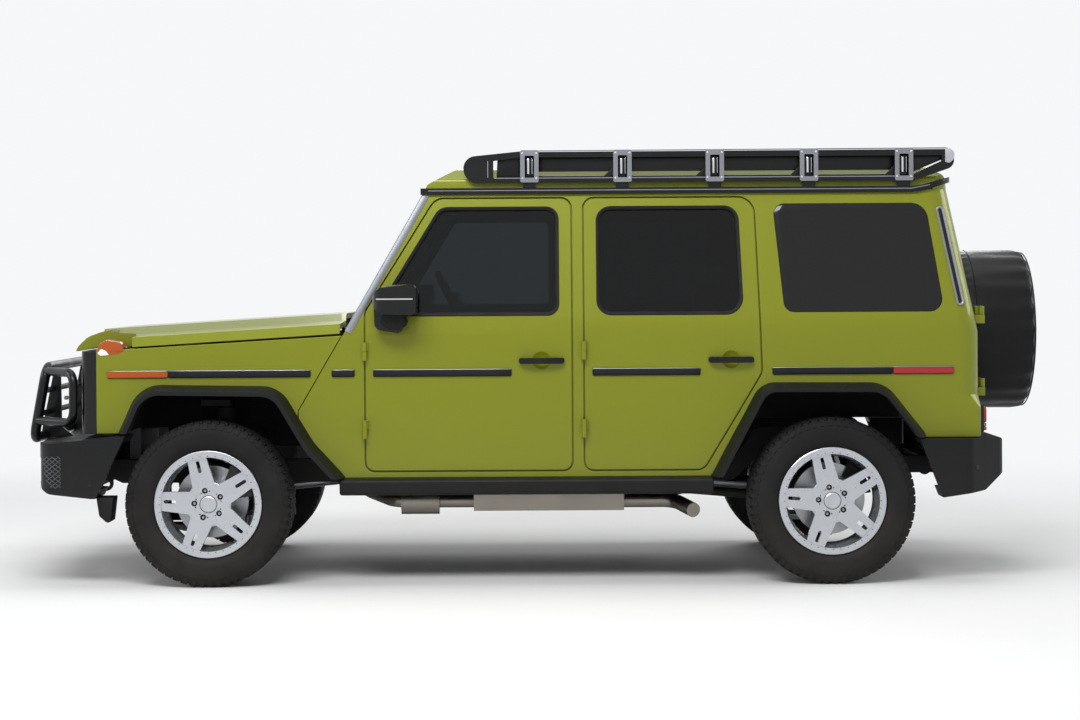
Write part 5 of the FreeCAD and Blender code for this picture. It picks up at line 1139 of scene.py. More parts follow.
post_path = [at(screen_front(v) - 15, on_side(at_x(screen_front(v) - 22), at_z(v)).y, v)
             for v in (792, 880, 960, 1040, 1120, 1200, 1280, 1360, 1432)]
add_both("body", GREY, sweep_mesh(post_path, profile=POST_SECTION, up=SCREEN_UP))
for pivot, tip in ((0.42, -0.16), (-0.14, -0.70)):
    root, head = on_screen(pivot, 765, 4), on_screen(pivot - 0.26, 862, 20)
    blade = []
    for t in (0, 0.2, 0.4, 0.6, 0.8, 1.0):
        blade.append(on_screen(pivot + 0.08 + (tip - pivot) * t, 850 + 28 * t, 14))
    add("body", SATIN, sweep_mesh([root, root.lerp(head, 0.5), head], 0.006, steps=8),
        turned_mesh(PIVOT_CAP, root, "Z", 20, False), sweep_mesh(blade, profile=BLADE_BACK, up=SCREEN_UP))
    add("body", RUBBER, sweep_mesh(blade, profile=BLADE_RUBBER, up=SCREEN_UP))
place_kit("windscreen_trim")

# %% [markdown]
# The mirror's housing is dressed further down. What belongs to its faces comes first: the silvered plate
# towards the driver, and a slim lamp whose path follows the curve of the housing's outer side.

# %% Mirrors: glass and the slim lamp in the housing
MIRROR_SKIN = skin_tree("mirror_left")
MIRROR_FACE_X = at_x(-970) + 0.0035
lamp_spots = [from_side(MIRROR_SKIN, at_x(u), at_z(946))[0] for u in range(-790, -960, -12)]
lamp_path = [spot for spot in lamp_spots if spot is not None]
lamp_section = [(-0.003, -0.0028), (0.0016, -0.0028), (0.0016, 0.0028), (-0.003, 0.0028)]
add_both("door_front_left", BRIGHT, sweep_mesh(lamp_path, profile=lamp_section, up=(0, 0, 1)))
silver = round_outline([(0.914, at_z(882), 0.022), (1.041, at_z(884), 0.03), (1.041, at_z(1002), 0.03),
                        (0.914, at_z(1000), 0.022)])
silver_mesh = plate_mesh(silver, 0.003, lambda u, v, w: Vector((MIRROR_FACE_X + w, u, v)))
add_both("door_front_left", MIRROR, silver_mesh)
place_kit("mirror_trim")

# %% [markdown]
# Lamps are made from the inside out: a bright bowl, a projector in its middle, a light ring at its edge and
# a thin domed glass over them. The turn signals stand on the fender tops and the tail lamps low on the
# corners.

# %% Headlamps
LAMP_Y, LAMP_V = 0.612, 570
DOME_R = 320
BOWL = [(530, 0), (533, 30), (545, 60), (580, 87), (583, 88), (549, 61), (537, 30.5), (534, 0)]
PROJECTOR = [(534, 0), (534, 42), (556, 42), (562, 38), (574, 36), (574, 33), (560, 33), (560, 0)]
PROJECTOR_LENS = [(566, 0), (566, 32.5), (574, 31), (584, 24), (590, 13), (592, 0)]
BEZEL = [(540, 103), (608, 103), (612, 101), (612, 97), (600, 94), (596, 95.5), (584, 95.5), (584, 89),
         (540, 89)]
LIGHT_RING = [(580, 89), (588, 90), (590.5, 92), (588, 94), (580, 95)]


def lamp_turned(profile, steps=64):
    return turned_mesh([(at_x(u), r / 1000) for u, r in profile], (0, LAMP_Y, at_z(LAMP_V)), "X", steps)


def dome(u, r):
    return (u - (DOME_R - math.sqrt(DOME_R ** 2 - r ** 2)), r)


GLASS_RADII = (95, 84, 66, 44, 22, 0)
cover_glass = [dome(605, r) for r in GLASS_RADII] + [dome(602, r) for r in reversed(GLASS_RADII)]
add_both("body", BRIGHT, lamp_turned(BOWL))
add_both("body", GLOSS, lamp_turned(PROJECTOR), lamp_turned(BEZEL))
add_both("body", LENS, lamp_turned(PROJECTOR_LENS, 40), lamp_turned(cover_glass))
add_both("body", LED, lamp_turned(LIGHT_RING))
print("headlamp parts:", sum(len(parts) for parts in kit.values()))


# %% Turn signals and tail lamps
def side_block(outline, near, far, bevel):
    """A block with an outline seen from the side, between two distances from the middle plane."""
    points = round_outline([(at_x(p[0]), at_z(p[1]), p[2] / 1000 if len(p) > 2 else 0) for p in outline])
    return plate_mesh(points, far - near, lambda u, v, w: Vector((u, near + w, v)), bevel)


TAIL_X = at_x(-3592)
TAIL_IN, TAIL_OUT = 0.713, 0.821


def tail_block(material, low_v, high_v, depth, bevel, segments=2):
    """One lens of the tail lamp, between two heights, standing depth off the body."""
    low, high = (TAIL_X - depth, TAIL_IN, at_z(low_v)), (TAIL_X - 0.012, TAIL_OUT, at_z(high_v))
    add_both("body", material, box_mesh(low, high, bevel, segments))


GASKET = [(376, 706, 4), (384, 730, 8), (512, 722, 8), (534, 692, 6), (520, 676, 6), (400, 690, 6)]
SIGNAL = [(388, 708, 6), (410, 752, 16), (478, 764, 12), (508, 744, 10), (525, 702, 8), (505, 685, 8),
          (420, 694, 8)]
SIGNAL_LAMP = [(462, 692, 3), (478, 712, 8), (500, 722, 8), (519, 700, 6), (503, 689, 5)]
add_both("body", GLOSS, side_block(GASKET, 0.716, 0.8755, 0.002))
add_both("body", AMBER, side_block(SIGNAL, 0.724, 0.8785, 0.007))
add_both("body", LED, side_block(SIGNAL_LAMP, 0.735, 0.8800, 0.002))
tail_foot = (TAIL_X - 0.020, TAIL_IN - 0.007, at_z(309)), (TAIL_X - 0.0005, TAIL_OUT + 0.005, at_z(431))
add_both("body", GLOSS, box_mesh(*tail_foot, 0.004))
tail_block(RED, 352, 424, 0.0335, 0.008, 3)
tail_block(LENS, 334, 350, 0.0315, 0.003)
tail_block(AMBER, 316, 332, 0.0325, 0.003)
place_kit("lamp")
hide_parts("lamps")

# %% [markdown]
# Behind the nose bars and in the bumper's openings lies a woven guard against stones. One cross of thin
# wire is made, and the grid pattern repeats it over each opening.

# %% Stone guards
def stone_guard(corner, columns, rows, cell=0.024, half_wire=0.0021):
    """Crossed wires from a lower corner, to the left and upwards."""
    across, up = Vector((0, 1, 0)), Vector((0, 0, 1))
    parts = []
    for sign in (-1, 1):
        reach = (across + up * sign) * cell / 2
        parts.append(sweep_mesh([-reach, reach], profile=rect(half_wire, half_wire)))
    grid = patterned(merged("cross", parts), GRID_TREE, Columns=columns, Rows=rows,
                     Step_U=tuple(across * cell), Step_V=tuple(up * cell), Finish=GLOSS)
    grid.transform(Matrix.Translation(corner + (across + up) * cell / 2))
    grid.materials.clear()
    return grid


add("body", GLOSS, stone_guard(at(575, -0.376, 418), 31, 10), stone_guard(at(736, -0.330, 100), 27, 4))
place_kit("stone_guard")

# %% Wires in the bumper's corners, sensors and deflectors
BUMPERS = skin_tree("front_bumper", "rear_bumper", "arch_flares")
WIRE = finish("dull wire", srgb(96, 98, 101), 0.4, metallic=0.6, dust=0.05)
CORNER_MESH = [(772, 228), (686, 228), (672, 210), (672, 76), (722, 76), (752, 120)]
DEFLECTOR = [(439, 34), (518, 34), (505, -52, 20), (470, -83, 14), (452, -80, 10)]


def stud(place, normal, radius, height, steps=20):
    """A small head standing on a surface; six steps make it a hexagon."""
    profile = [(-0.002, 0), (-0.002, radius), (height * 0.6, radius), (height, radius * 0.8), (height, 0)]
    mesh = turned_mesh(profile, axis="Z", steps=steps, closed=False)
    mesh.transform(Matrix.Translation(place) @ Vector(normal).to_track_quat("Z", "Y").to_matrix().to_4x4())
    return mesh


def inside(border, u, v):
    """Whether a point lies inside a convex border."""
    sides = zip(border, border[1:] + border[:1])
    turns = [(b[0] - a[0]) * (v - a[1]) - (b[1] - a[1]) * (u - a[0]) for a, b in sides]
    return all(t >= 0 for t in turns) or all(t <= 0 for t in turns)


def wire_lines(border, cell=22, half_wire=0.0014):
    """Crossed wires on the corner of the bumper, inside a border of (u, v) points."""
    wires = []
    for slope in (-0.8, 0.8):
        for start in range(-260, 560, cell):
            run = [(u, start + slope * (u - 660)) for u in range(660, 800, 8)]
            hits = [from_side(BUMPERS, at_x(u), at_z(v)) for u, v in run if inside(border, u, v)]
            spots = [spot + normal * 0.001 for spot, normal in hits if spot is not None]
            if len(spots) > 2:
                wires.append(sweep_mesh(spots, profile=rect(half_wire, half_wire)))
    return wires


add_both("body", WIRE, *wire_lines(CORNER_MESH))
for u, v in ((545, 96), (-3560, 150)):
    spot, normal = from_side(BUMPERS, at_x(u), at_z(v))
    add_both("body", GLOSS, stud(spot, normal, 0.011, 0.002))
    add_both("body", PLASTIC, stud(spot, normal, 0.014, 0.001))
add_both("body", RUBBER, side_block(DEFLECTOR, 0.80, 0.925, 0.003))
place_kit("bumper_trim")

# %% [markdown]
# The brush guard and the roof rack are coated tube and plate. The frame already has their bends, posts and
# caps, so here they get eased edges, a bright face on each post, dark skirts along the deck, and bolts.

# %% Brush guard
panel("brush_guard", SATIN, 0.0015, angle=40)
for u, v in ((772, 345), (768, 470), (745, 590)):
    for y, towards in ((0.348, 1), (0.332, -1)):
        add_both("body", STEEL, stud(at(u, y, v), (0, towards, 0), 0.011, 0.006, 6))
place_kit("guard_bolts")

# %% The roof rack's rails, posts and bolts
rack = panel("roof_rack", SATIN, 0.002, angle=35)
RACK_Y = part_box("roof_rack")[1][1] - 0.017
RACK_FACE = RACK_Y + 0.0125
RACK_POSTS = (-1495, -1931, -2363, -2804, -3249)
RAIL_TOP = 1636
two_tone(rack, GREY, lambda c, n: abs(c.y) > RACK_Y + 0.0132)
for low_v, high_v in ((1538, 1616), (1508, 1519)):
    skirt = box_mesh(at(-3330, RACK_Y - 0.030, low_v), at(-1470, RACK_Y - 0.024, high_v), 0.002)
    add_both("body", SATIN, skirt)
for u in RACK_POSTS:
    for v in (1506, 1623):
        for du in (-33, 33):
            add_both("body", BRIGHT, stud(at(u + du, RACK_Y + 0.017, v), (0, 1, 0), 0.005, 0.0025, 8))
    back = box_mesh(at(u - 21, RACK_Y - 0.010, 1509), at(u + 21, RACK_Y - 0.006, 1610), 0.001)
    add_both("body", SATIN, back)
    for near, far in ((u - 14, u - 11), (u + 1, u + 10)):
        stripe = box_mesh(at(near, RACK_Y - 0.007, 1527), at(far, RACK_Y + 0.004, 1598), 0.001)
        add_both("body", BRIGHT, stripe)
for behind in RACK_POSTS[1:]:
    gusset = [(behind + 44, 1507), (behind + 44, 1560), (behind + 62, 1540, 14), (behind + 96, 1507)]
    add_both("body", SATIN, side_block(gusset, RACK_Y - 0.010, RACK_Y - 0.004, 0.001))
print("rack posts:", len(RACK_POSTS))

# %% The roof rack's bright lines, end plates and fin
EDGE = [(-0.002, -0.0022), (0.0014, -0.0022), (0.0014, 0.0022), (-0.002, 0.0022)]
FIN = [(-0.02, -0.005), (0.02, -0.005), (0.016, 0.005), (-0.016, 0.005)]
FRONT_PLATE = [(-1340, 1508, 6), (-1345, 1596, 12), (-1480, 1618, 4), (-1480, 1508, 4)]
REAR_PLATE = [(-3255, 1512), (-3255, 1618), (-3440, 1622, 4), (-3440, 1588, 10)]
TIP = [(-3441, 1572, 3), (-3441, 1637, 3), (-3464, 1637, 14), (-3487, 1618, 22), (-3484, 1584, 18),
       (-3462, 1566, 10)]
SEAM = [(-1302, 1510), (-1302, 1588), (-1298, 1588), (-1298, 1510)]
top_line = [at(-1450, RACK_FACE, RAIL_TOP - 5), at(-3450, RACK_FACE, RAIL_TOP - 2)]
low_line = [at(-1330, RACK_FACE, 1507), at(-3270, RACK_FACE, 1507)]
add_both("body", BRIGHT, sweep_mesh(top_line, profile=EDGE, up=(0, 0, 1)))
add_both("body", GREY, sweep_mesh(low_line, profile=EDGE, up=(0, 0, 1)))
for plate in (FRONT_PLATE, REAR_PLATE):
    add_both("body", SATIN, side_block(plate, RACK_Y - 0.018, RACK_Y - 0.012, 0.002))
add_both("body", ALLOY, side_block(TIP, RACK_Y - 0.014, RACK_Y + 0.015, 0.004))
add_both("body", GREY, side_block(SEAM, RACK_Y + 0.010, RACK_Y + 0.0135, 0.0))
fin_path = [at(u, 0.30, v) for u, v in ((-2710, 1628), (-2800, 1634), (-2920, 1637), (-3040, 1640))]
add("body", ALLOY, sweep_mesh(fin_path, profile=FIN, up=(0, 0, 1)))
place_kit("rack_trim")

# %% [markdown]
# Three pieces need a softer form than the frame's. The first is the mirror housing, an egg on a foot. A box
# with very wide rounded edges gives the egg, and drawing it in towards its front gives the wind side.

# %% Mirror housings
FOOT = [(-818, 905, 14), (-800, 842, 22), (-838, 806, 18), (-905, 806, 18), (-930, 838, 16), (-900, 905, 14)]


def soft_block(low, high, bevel, taper):
    """A box with wide soft edges, narrower towards its front by taper."""
    mesh = box_mesh(low, high, bevel, 6)
    middle_y, middle_z = (low[1] + high[1]) / 2, (low[2] + high[2]) / 2
    for v in mesh.vertices:
        t = max(0.0, (v.co.x - low[0]) / (high[0] - low[0]))
        v.co.y = middle_y + (v.co.y - middle_y) * (1 - taper * t * t)
        v.co.z = middle_z + (v.co.z - middle_z) * (1 - taper * 0.8 * t * t)
    return mesh


mirror_in, mirror_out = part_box("mirror_left")[0][1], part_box("mirror_left")[1][1]
head = soft_block(at(-972, mirror_out - 0.150, 871), at(-784, mirror_out, 1016), 0.052, 0.30)
rim_outline = round_outline([
    (mirror_out - 0.143, at_z(877), 0.03), (mirror_out - 0.006, at_z(879), 0.04),
    (mirror_out - 0.006, at_z(1010), 0.04), (mirror_out - 0.143, at_z(1010), 0.03)], 7)
rim = plate_mesh(rim_outline, 0.012, lambda u, v, w: Vector((at_x(-974) + w, u, v)), 0.003)
foot = side_block(FOOT, mirror_in + 0.002, mirror_out - 0.058, 0.010)
for label, material, parts in (("mirror_head", GLOSS, [head, rim]), ("mirror_foot", PLASTIC, [foot])):
    for side in ("left", "right"):
        meshes = [m.copy() if side == "left" else mirrored_mesh(m) for m in parts]
        piece = joined(label + "_" + side, meshes, material, "door_front_" + side)
        if label == "mirror_head":
            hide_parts("mirror_" + side)
print("mirror housings: 2")

# %% [markdown]
# The second is the hood's nose, where the sheet rolls down over the front panel. Its section is the same
# all the way across, so it is a plate with that section as its outline. A cheek closes each end: a short
# chain of four-sided plates, because one plate with a hollow outline is hard to fill without a fold.

# %% Hood nose
NOSE_HALF = 0.70
CHEEK_THICK, CHEEK_INSET = 0.006, 0.0015
NOSE = [(484, 808), (505, 803), (538, 794), (568, 783), (593, 770), (619, 751), (638, 731), (648, 716),
        (650, 706), (641, 706), (628, 722), (606, 745), (585, 759), (556, 772), (528, 780), (500, 786),
        (484, 788)]
CHEEK = [(366, 732, 788), (486, 730, 792), (538, 727, 791), (568, 722, 780), (593, 716, 767), (619, 712, 748),
         (638, 709, 728), (648, 706, 712)]  # place, low, high: each run between neighbours is convex
add("hood", PAINT, plate_mesh(NOSE, 2 * NOSE_HALF, lambda u, v, w: at(u, w - NOSE_HALF, v), 0.002))
for y in (CHEEK_INSET - CHEEK_THICK - NOSE_HALF, NOSE_HALF - CHEEK_INSET):
    for (near, low_v, high_v), (far, low_far, high_far) in zip(CHEEK, CHEEK[1:]):
        cheek = [(near, low_v), (near, high_v), (far, high_far), (far, low_far)]
        add("hood", PAINT, plate_mesh(cheek, CHEEK_THICK, lambda u, v, w: at(u, y + w, v)))
place_kit("hood_nose")

# %% [markdown]
# The third is the cover of the spare wheel: vinyl sewn to a round, taut over the tread and drawn in behind
# it by its hem. It is a turned form whose radius ripples with the angle, most at the hem, and two thin
# welts lie on its seams. A cloth simulation could make the gathers too, but a ripple is lighter and surer.

# %% Spare wheel cover
spare_low, spare_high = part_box("spare_wheel")
SPARE = middle("spare_wheel")
SPARE_R = (spare_high[2] - spare_low[2]) / 2
COVER_DEPTH = spare_high[0] - spare_low[0]
COVER_EDGE = 0.072
COVER_STEPS = 276


def ripple(along, turn):
    """How far the vinyl stands off its even line: taut over the tread, gathered at its body side."""
    gather = max(0.0, 1 - along / 0.07)
    loose = max(0.0, (along - 0.16) / 0.06)
    return 0.0042 * gather * math.sin(turn * 46) + 0.0016 * loose * math.sin(turn * 23 + 1.3)


def cover_place(along, radius, turn):
    return (spare_high[0] - along, SPARE.y + radius * math.cos(turn), SPARE.z + radius * math.sin(turn))


def cover_line():
    """The cover's half section, as (away from the body, radius): hem, tread, rolled edge and face."""
    rim, face = COVER_DEPTH - COVER_EDGE, SPARE_R - 0.071
    hem = [(0.004, 0.075), (0.002, 0.055), (0.006, 0.028), (0.020, 0.010), (0.045, 0.004), (0.070, 0.002),
           (0.110, 0.0015), (rim - 0.03, 0.003)]
    line = [(along, SPARE_R - inset) for along, inset in hem]
    for i in range(8):
        a = math.pi / 2 * i / 7
        drop = COVER_EDGE * 0.9 * (1 - math.cos(a))
        line.append((rim - 0.012 + COVER_EDGE * 0.62 * math.sin(a), SPARE_R - 0.006 - drop))
    for t in (0.2, 0.4, 0.6, 0.8, 0.94):
        crown = 0.036 * math.sin(t * math.pi / 2)
        line.append((COVER_DEPTH - COVER_EDGE * 0.38 - 0.012 + crown, face * (1 - t)))
    return line


def cover_mesh():
    bm = bmesh.new()
    rings = []
    for along, radius in cover_line():
        loose = 1 if radius > SPARE_R - 0.08 else 0
        rings.append([bm.verts.new(cover_place(along, radius + loose * ripple(along, turn), turn))
                      for turn in circle(COVER_STEPS)])
    bridge(bm, rings)
    return mesh_from(bm, "cover", True)


def cover_seam(along, inset, radius=0.0032):
    return sweep_mesh([cover_place(along, SPARE_R - inset, a) for a in circle(120)], radius, True, 8)


cover = mesh_object("spare_cover", cover_mesh(), VINYL, "tailgate")
smooth_by_angle(cover.data, 60)
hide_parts("spare_wheel")
seams = [cover_seam(0.074, 0.0015), cover_seam(COVER_DEPTH - 0.052, 0.013)]
joined("spare_cover_seams", seams, VINYL, "tailgate")
print("cover faces:", len(cover.data.polygons))

# %% [markdown]
# The seats are the soft pieces. Each cushion and backrest starts as a form a little smaller than the
# frame's solid, is remeshed evenly, and is blown up as cloth under pressure, with a cap on how far a point
# may move. The sewn channels are pressed in afterwards, and piping is laid on the finished surface.

# %% Pads: remeshed and blown up
PRESSURE = 4.0
CLOTH_FRAMES = 20


def pad_form(outline, y_low, y_high, inset):
    """A starting form: an outline of (u, v, corner radius) points across the seat, drawn in by inset."""
    points = grown(round_outline(outline, 6), -inset)
    start = y_low / 1000 + inset / 1000
    depth = (y_high - y_low) / 1000 - 2 * inset / 1000
    return plate_mesh(points, depth, lambda u, v, w: at(u, start + w, v), 0.02)


def blow_up(obj, cap):
    """Cloth under pressure for a few frames, with no point moved more than cap."""
    start = [v.co.copy() for v in obj.data.vertices]
    cloth = obj.modifiers.new("cloth", "CLOTH")
    cloth.settings.use_pressure = True
    cloth.settings.uniform_pressure_force = PRESSURE
    cloth.settings.effector_weights.gravity = 0.0
    cloth.point_cache.frame_start = 1
    cloth.point_cache.frame_end = CLOTH_FRAMES
    for frame_number in range(1, CLOTH_FRAMES + 1):
        bpy.context.scene.frame_set(frame_number)
    apply_modifiers(obj)
    bpy.context.scene.frame_set(1)
    for vert, was in zip(obj.data.vertices, start):
        move = vert.co - was
        if move.length > cap:
            vert.co = was + move.normalized() * cap


def puffed(mesh, voxel, cap):
    """The form after an even remesh, the cloth and a subdivision."""
    obj = scene_object("pad", mesh)
    even = obj.modifiers.new("even mesh", "REMESH")
    even.mode = "VOXEL"
    even.voxel_size = voxel
    apply_modifiers(obj)
    blow_up(obj, cap)
    fine = obj.modifiers.new("fine", "SUBSURF")
    fine.levels = fine.render_levels = 1
    apply_modifiers(obj)
    mesh = obj.data
    bpy.data.objects.remove(obj)
    return mesh


print("cloth frames:", CLOTH_FRAMES)


# %% Pads: seams and piping
def sewn(mesh, channels, depth=0.009, width=0.011):
    """Presses channels in: each is a plain test of a point, giving its distance from the seam or None."""
    normals = [v.normal.copy() for v in mesh.vertices]
    for vert, normal in zip(mesh.vertices, normals):
        gaps = [abs(gap) for gap in (channel(vert.co, normal) for channel in channels) if gap is not None]
        if gaps and min(gaps) < width * 2.5:
            vert.co -= normal * depth * math.exp(-((min(gaps) / width) ** 2))
    smooth(mesh)
    return mesh


def piping(mesh, outline, y, radius=0.003):
    """A thin welt along an outline at a distance from the middle, laid on the nearest points of the pad."""
    bm = bmesh.new()
    bm.from_mesh(mesh)
    skin = BVHTree.FromBMesh(bm)
    bm.free()
    path = []
    for u, v in round_outline(outline, 6):
        spot, normal = skin.find_nearest(at(u, y / 1000, v))[:2]
        path.append(spot + normal * radius * 0.4)
    return sweep_mesh(path, radius, closed=True, steps=8)


HALF_PANEL = 135


def channels_of(x_back, places):
    """The seams of a cushion and of a backrest, for seats whose middles are at places."""
    def in_panel(c):
        return min(abs(c.y - p / 1000) for p in places) < HALF_PANEL / 1000

    def lengthwise(y):
        return lambda c, n: c.y - y / 1000 if n.z > 0.3 or n.x > 0.3 else None

    def crosswise(u):
        return lambda c, n: c.x - at_x(u) if n.z > 0.5 and in_panel(c) else None

    def rung(v):
        return lambda c, n: c.z - at_z(v) if n.x > 0.5 and in_panel(c) else None

    along = [lengthwise(p + side) for p in places for side in (-HALF_PANEL, HALF_PANEL)]
    cross = [crosswise(x_back + reach) for reach in (190, 290, 390)]
    return along + cross, along + [rung(v) for v in (600, 700, 800, 900)]


print("half width of a seat's middle panel:", HALF_PANEL)


# %% Seats
def seat_set(x_back, y, width, top, places, voxel):
    """The cushion, backrest and headrests of one seat, their piping and their posts."""
    cushion_line = [(x_back + 22, 395, 20), (x_back + 500, 395, 30), (x_back + 500, 515, 50),
                    (x_back + 120, 488, 20)]
    back_line = [(x_back - 24, 440, 30), (x_back + 104, 468, 40), (x_back - 30, top, 50),
                 (x_back - 150, top, 50)]
    head_line = [(x_back - 128, top + 42, 40), (x_back - 32, top + 42, 40), (x_back - 52, top + 198, 40),
                 (x_back - 143, top + 198, 40)]
    low, high = y - width / 2, y + width / 2
    cushion_seams, back_seams = channels_of(x_back, places)
    cushion = sewn(puffed(pad_form(cushion_line, low, high, 12), voxel, 0.020), cushion_seams)
    back = sewn(puffed(pad_form(back_line, low, high, 12), voxel, 0.020), back_seams)
    head = sewn(puffed(pad_form(head_line, -130, 130, 9), 0.008, 0.012), [])
    welts = [piping(pad, line, side) for pad, line in ((cushion, cushion_line), (back, back_line))
             for side in (low + 26, high - 26)]
    pads, posts = [cushion, back], []
    for place in places:
        copy = head.copy()
        copy.transform(Matrix.Translation((0, place / 1000, 0)))
        pads.append(copy)
        for side in (-60, 60):
            foot, tip = [at(x_back - 88, (place + side) / 1000, v) for v in (top - 30, top + 70)]
            posts.append(sweep_mesh([foot, tip], 0.007, steps=16))
    bpy.data.meshes.remove(head)
    return pads, welts, posts


def place_seats(node, pads, welts, posts, twin):
    """Puts a seat's meshes on the body; twin adds the other side's."""
    def both_sides(meshes):
        return meshes + ([mirrored_mesh(mesh) for mesh in meshes] if twin else [])

    for i, pad in enumerate(pads):
        piece = joined("%s_pads_%d" % (node, i), both_sides([pad]), LEATHER, "body")
        smooth(piece.data)
        if i == 0:
            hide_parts(node)
    joined(node + "_piping_0", both_sides(welts), WELT, "body")
    joined(node + "_posts_0", both_sides(posts), BRIGHT, "body")


WELT = finish("seat piping", srgb(62, 62, 60), 0.5, dust=0.0)
place_seats("front_seats", *seat_set(-1700, 375, 500, 1050, [375], 0.012), True)
place_seats("rear_seat", *seat_set(-2350, 0, 1240, 1035, [-400, 0, 400], 0.016), False)
print("seats made")

# %% What the seats stand on
BASE_Z = at_z(205)


def seat_base(u, y, half):
    """A plinth and its two rails, in metres across and millimetres from the front hub along."""
    low, high = (at_x(u + 46), y - half, BASE_Z + 0.001), (at_x(u + 434), y + half, BASE_Z + 0.189)
    plinth = box_mesh(low, high, 0.008)
    rails = []
    for line in (y - half + 0.020, y + half - 0.020):
        rails.append(box_mesh((at_x(u + 20), line - 0.018, BASE_Z + 0.001),
                              (at_x(u + 470), line + 0.018, BASE_Z + 0.028), 0.004))
    return plinth, rails


front_plinth, front_rails = seat_base(-1700, 0.375, 0.190)
rear_plinth, rear_rails = seat_base(-2350, 0.0, 0.560)
add_both("body", CABIN, front_plinth)
add_both("body", STEEL, *front_rails)
add("body", CABIN, rear_plinth)
add("body", STEEL, *rear_rails)
place_kit("seat_bases")

# %% [markdown]
# The dashboard is the frame's solid with what a driver reads and touches on top: dials under a hood, a
# blank screen, vents, knobs, a glovebox, and the levers on the console. Nothing on it carries any writing.

# %% The dashboard's flat pieces
DASH = skin_tree("dashboard")
SCREEN = finish("blank screen", srgb(8, 9, 11), 0.12, dust=0.0, coat=0.4)


def on_dash(y, z):
    """A point of the dashboard's face towards the seats."""
    return DASH.ray_cast(Vector((at_x(-1300), y, z)), Vector((1, 0, 0)))[0]


def dash_plate(material, low, high, corner, lift, depth):
    """A plate parallel to the dashboard's face, from one (y, v) corner to the other, in mm."""
    (y0, v0), (y1, v1) = low, high
    corners = [(y / 1000, at_z(v), corner / 1000) for y, v in ((y0, v0), (y1, v0), (y1, v1), (y0, v1))]
    points = round_outline(corners, 5)
    face = min(on_dash(u, v).x for u, v in points)
    add("body", material, plate_mesh(points, depth, lambda u, v, w: Vector((face - lift + w, u, v)), 0.0015))


dash_plate(SCREEN, (-125, 650), (125, 752), 8, 0.012, 0.012)
dash_plate(GLOSS, (-135, 640), (135, 762), 10, 0.008, 0.02)
for y in (-640, -205, 205, 640):
    dash_plate(SATIN, (y - 48, 672), (y + 48, 742), 10, 0.006, 0.02)
    for v in range(682, 740, 10):
        dash_plate(STEEL, (y - 42, v), (y + 42, v + 3), 1, 0.010, 0.006)
dash_plate(SATIN, (-590, 566), (-170, 656), 14, 0.003, 0.02)
dash_plate(BRIGHT, (-405, 640), (-355, 648), 3, 0.012, 0.012)
print("flat pieces on the dashboard:", sum(len(parts) for parts in kit.values()))

# %% Knobs, dials and levers
CLUSTER_Y = 375
DIAL_RIM = [(0.0, 0.040), (0.0, 0.045), (-0.010, 0.045), (-0.010, 0.042), (-0.004, 0.040)]
DIAL_FACE = [(0.02, 0.001), (0.02, 0.041), (-0.003, 0.041), (-0.003, 0.001)]
GAITER = [(0.0, 0.052), (0.03, 0.040), (0.05, 0.022), (0.075, 0.010), (0.075, 0.001), (0.0, 0.001)]
LEVER_KNOB = [(-0.028, 0.001), (-0.028, 0.012), (-0.01, 0.021), (0.014, 0.022), (0.028, 0.012),
              (0.030, 0.001)]
CUP = [(0.0, 0.044), (0.004, 0.044), (0.004, 0.036), (-0.05, 0.034), (-0.05, 0.001), (-0.054, 0.001),
       (-0.054, 0.040), (0.0, 0.044)]
for y in (-0.075, 0, 0.075):
    spot = on_dash(y, at_z(608))
    for radius, depth, material in ((0.021, 0.010, SATIN), (0.016, 0.026, BRIGHT)):
        knob = [(0.004, 0.001), (0.004, radius), (0.002 - depth, radius), (-depth, radius - 0.002),
                (-depth, 0.001)]
        add("body", material, turned_mesh(knob, spot, "X", 32))
arc = [math.pi * i / 16 for i in range(17)]
hood_path = [at(-868, (CLUSTER_Y + 190 * math.cos(a)) / 1000, 742 + 62 * math.sin(a)) for a in arc]
add("body", CABIN, sweep_mesh(hood_path, profile=rect(0.005, 0.055), up=(1, 0, 0)))
for y in (CLUSTER_Y - 90, CLUSTER_Y + 90):
    spot = at(-900, y / 1000, 752)
    add("body", BRIGHT, turned_mesh(DIAL_RIM, spot, "X", 48))
    add("body", SCREEN, turned_mesh(DIAL_FACE, spot, "X", 48))
    needle = [spot + Vector(corner) for corner in ((-0.006, -0.001, 0.0), (-0.004, 0.001, 0.034))]
    add("body", AMBER, box_mesh(*needle, 0.0004))
foot, bend, top = at(-1050, 0, 490), at(-1062, 0, 560), at(-1080, 0, 610)
add("body", STEEL, sweep_mesh(rounded_path([(foot, 0), (bend, 0.1), (top, 0)]), 0.007, steps=16))
add("body", LEATHER, turned_mesh(GAITER, at(-1050, 0, 494), "Z", 32), turned_mesh(LEVER_KNOB, top, "Z", 32),
    box_mesh(at(-1560, -0.095, 488), at(-1320, 0.095, 540), 0.020, 4))
add("body", SATIN, turned_mesh(CUP, at(-1230, 0.045, 497), "Z", 36))
place_kit("dash")

# %% [markdown]
# The steering wheel's rim and spokes are the frame's, in leather. Its middle gets a plain pad and a bright
# ring. Both are turned about the Z axis and then tipped to the column's lean.

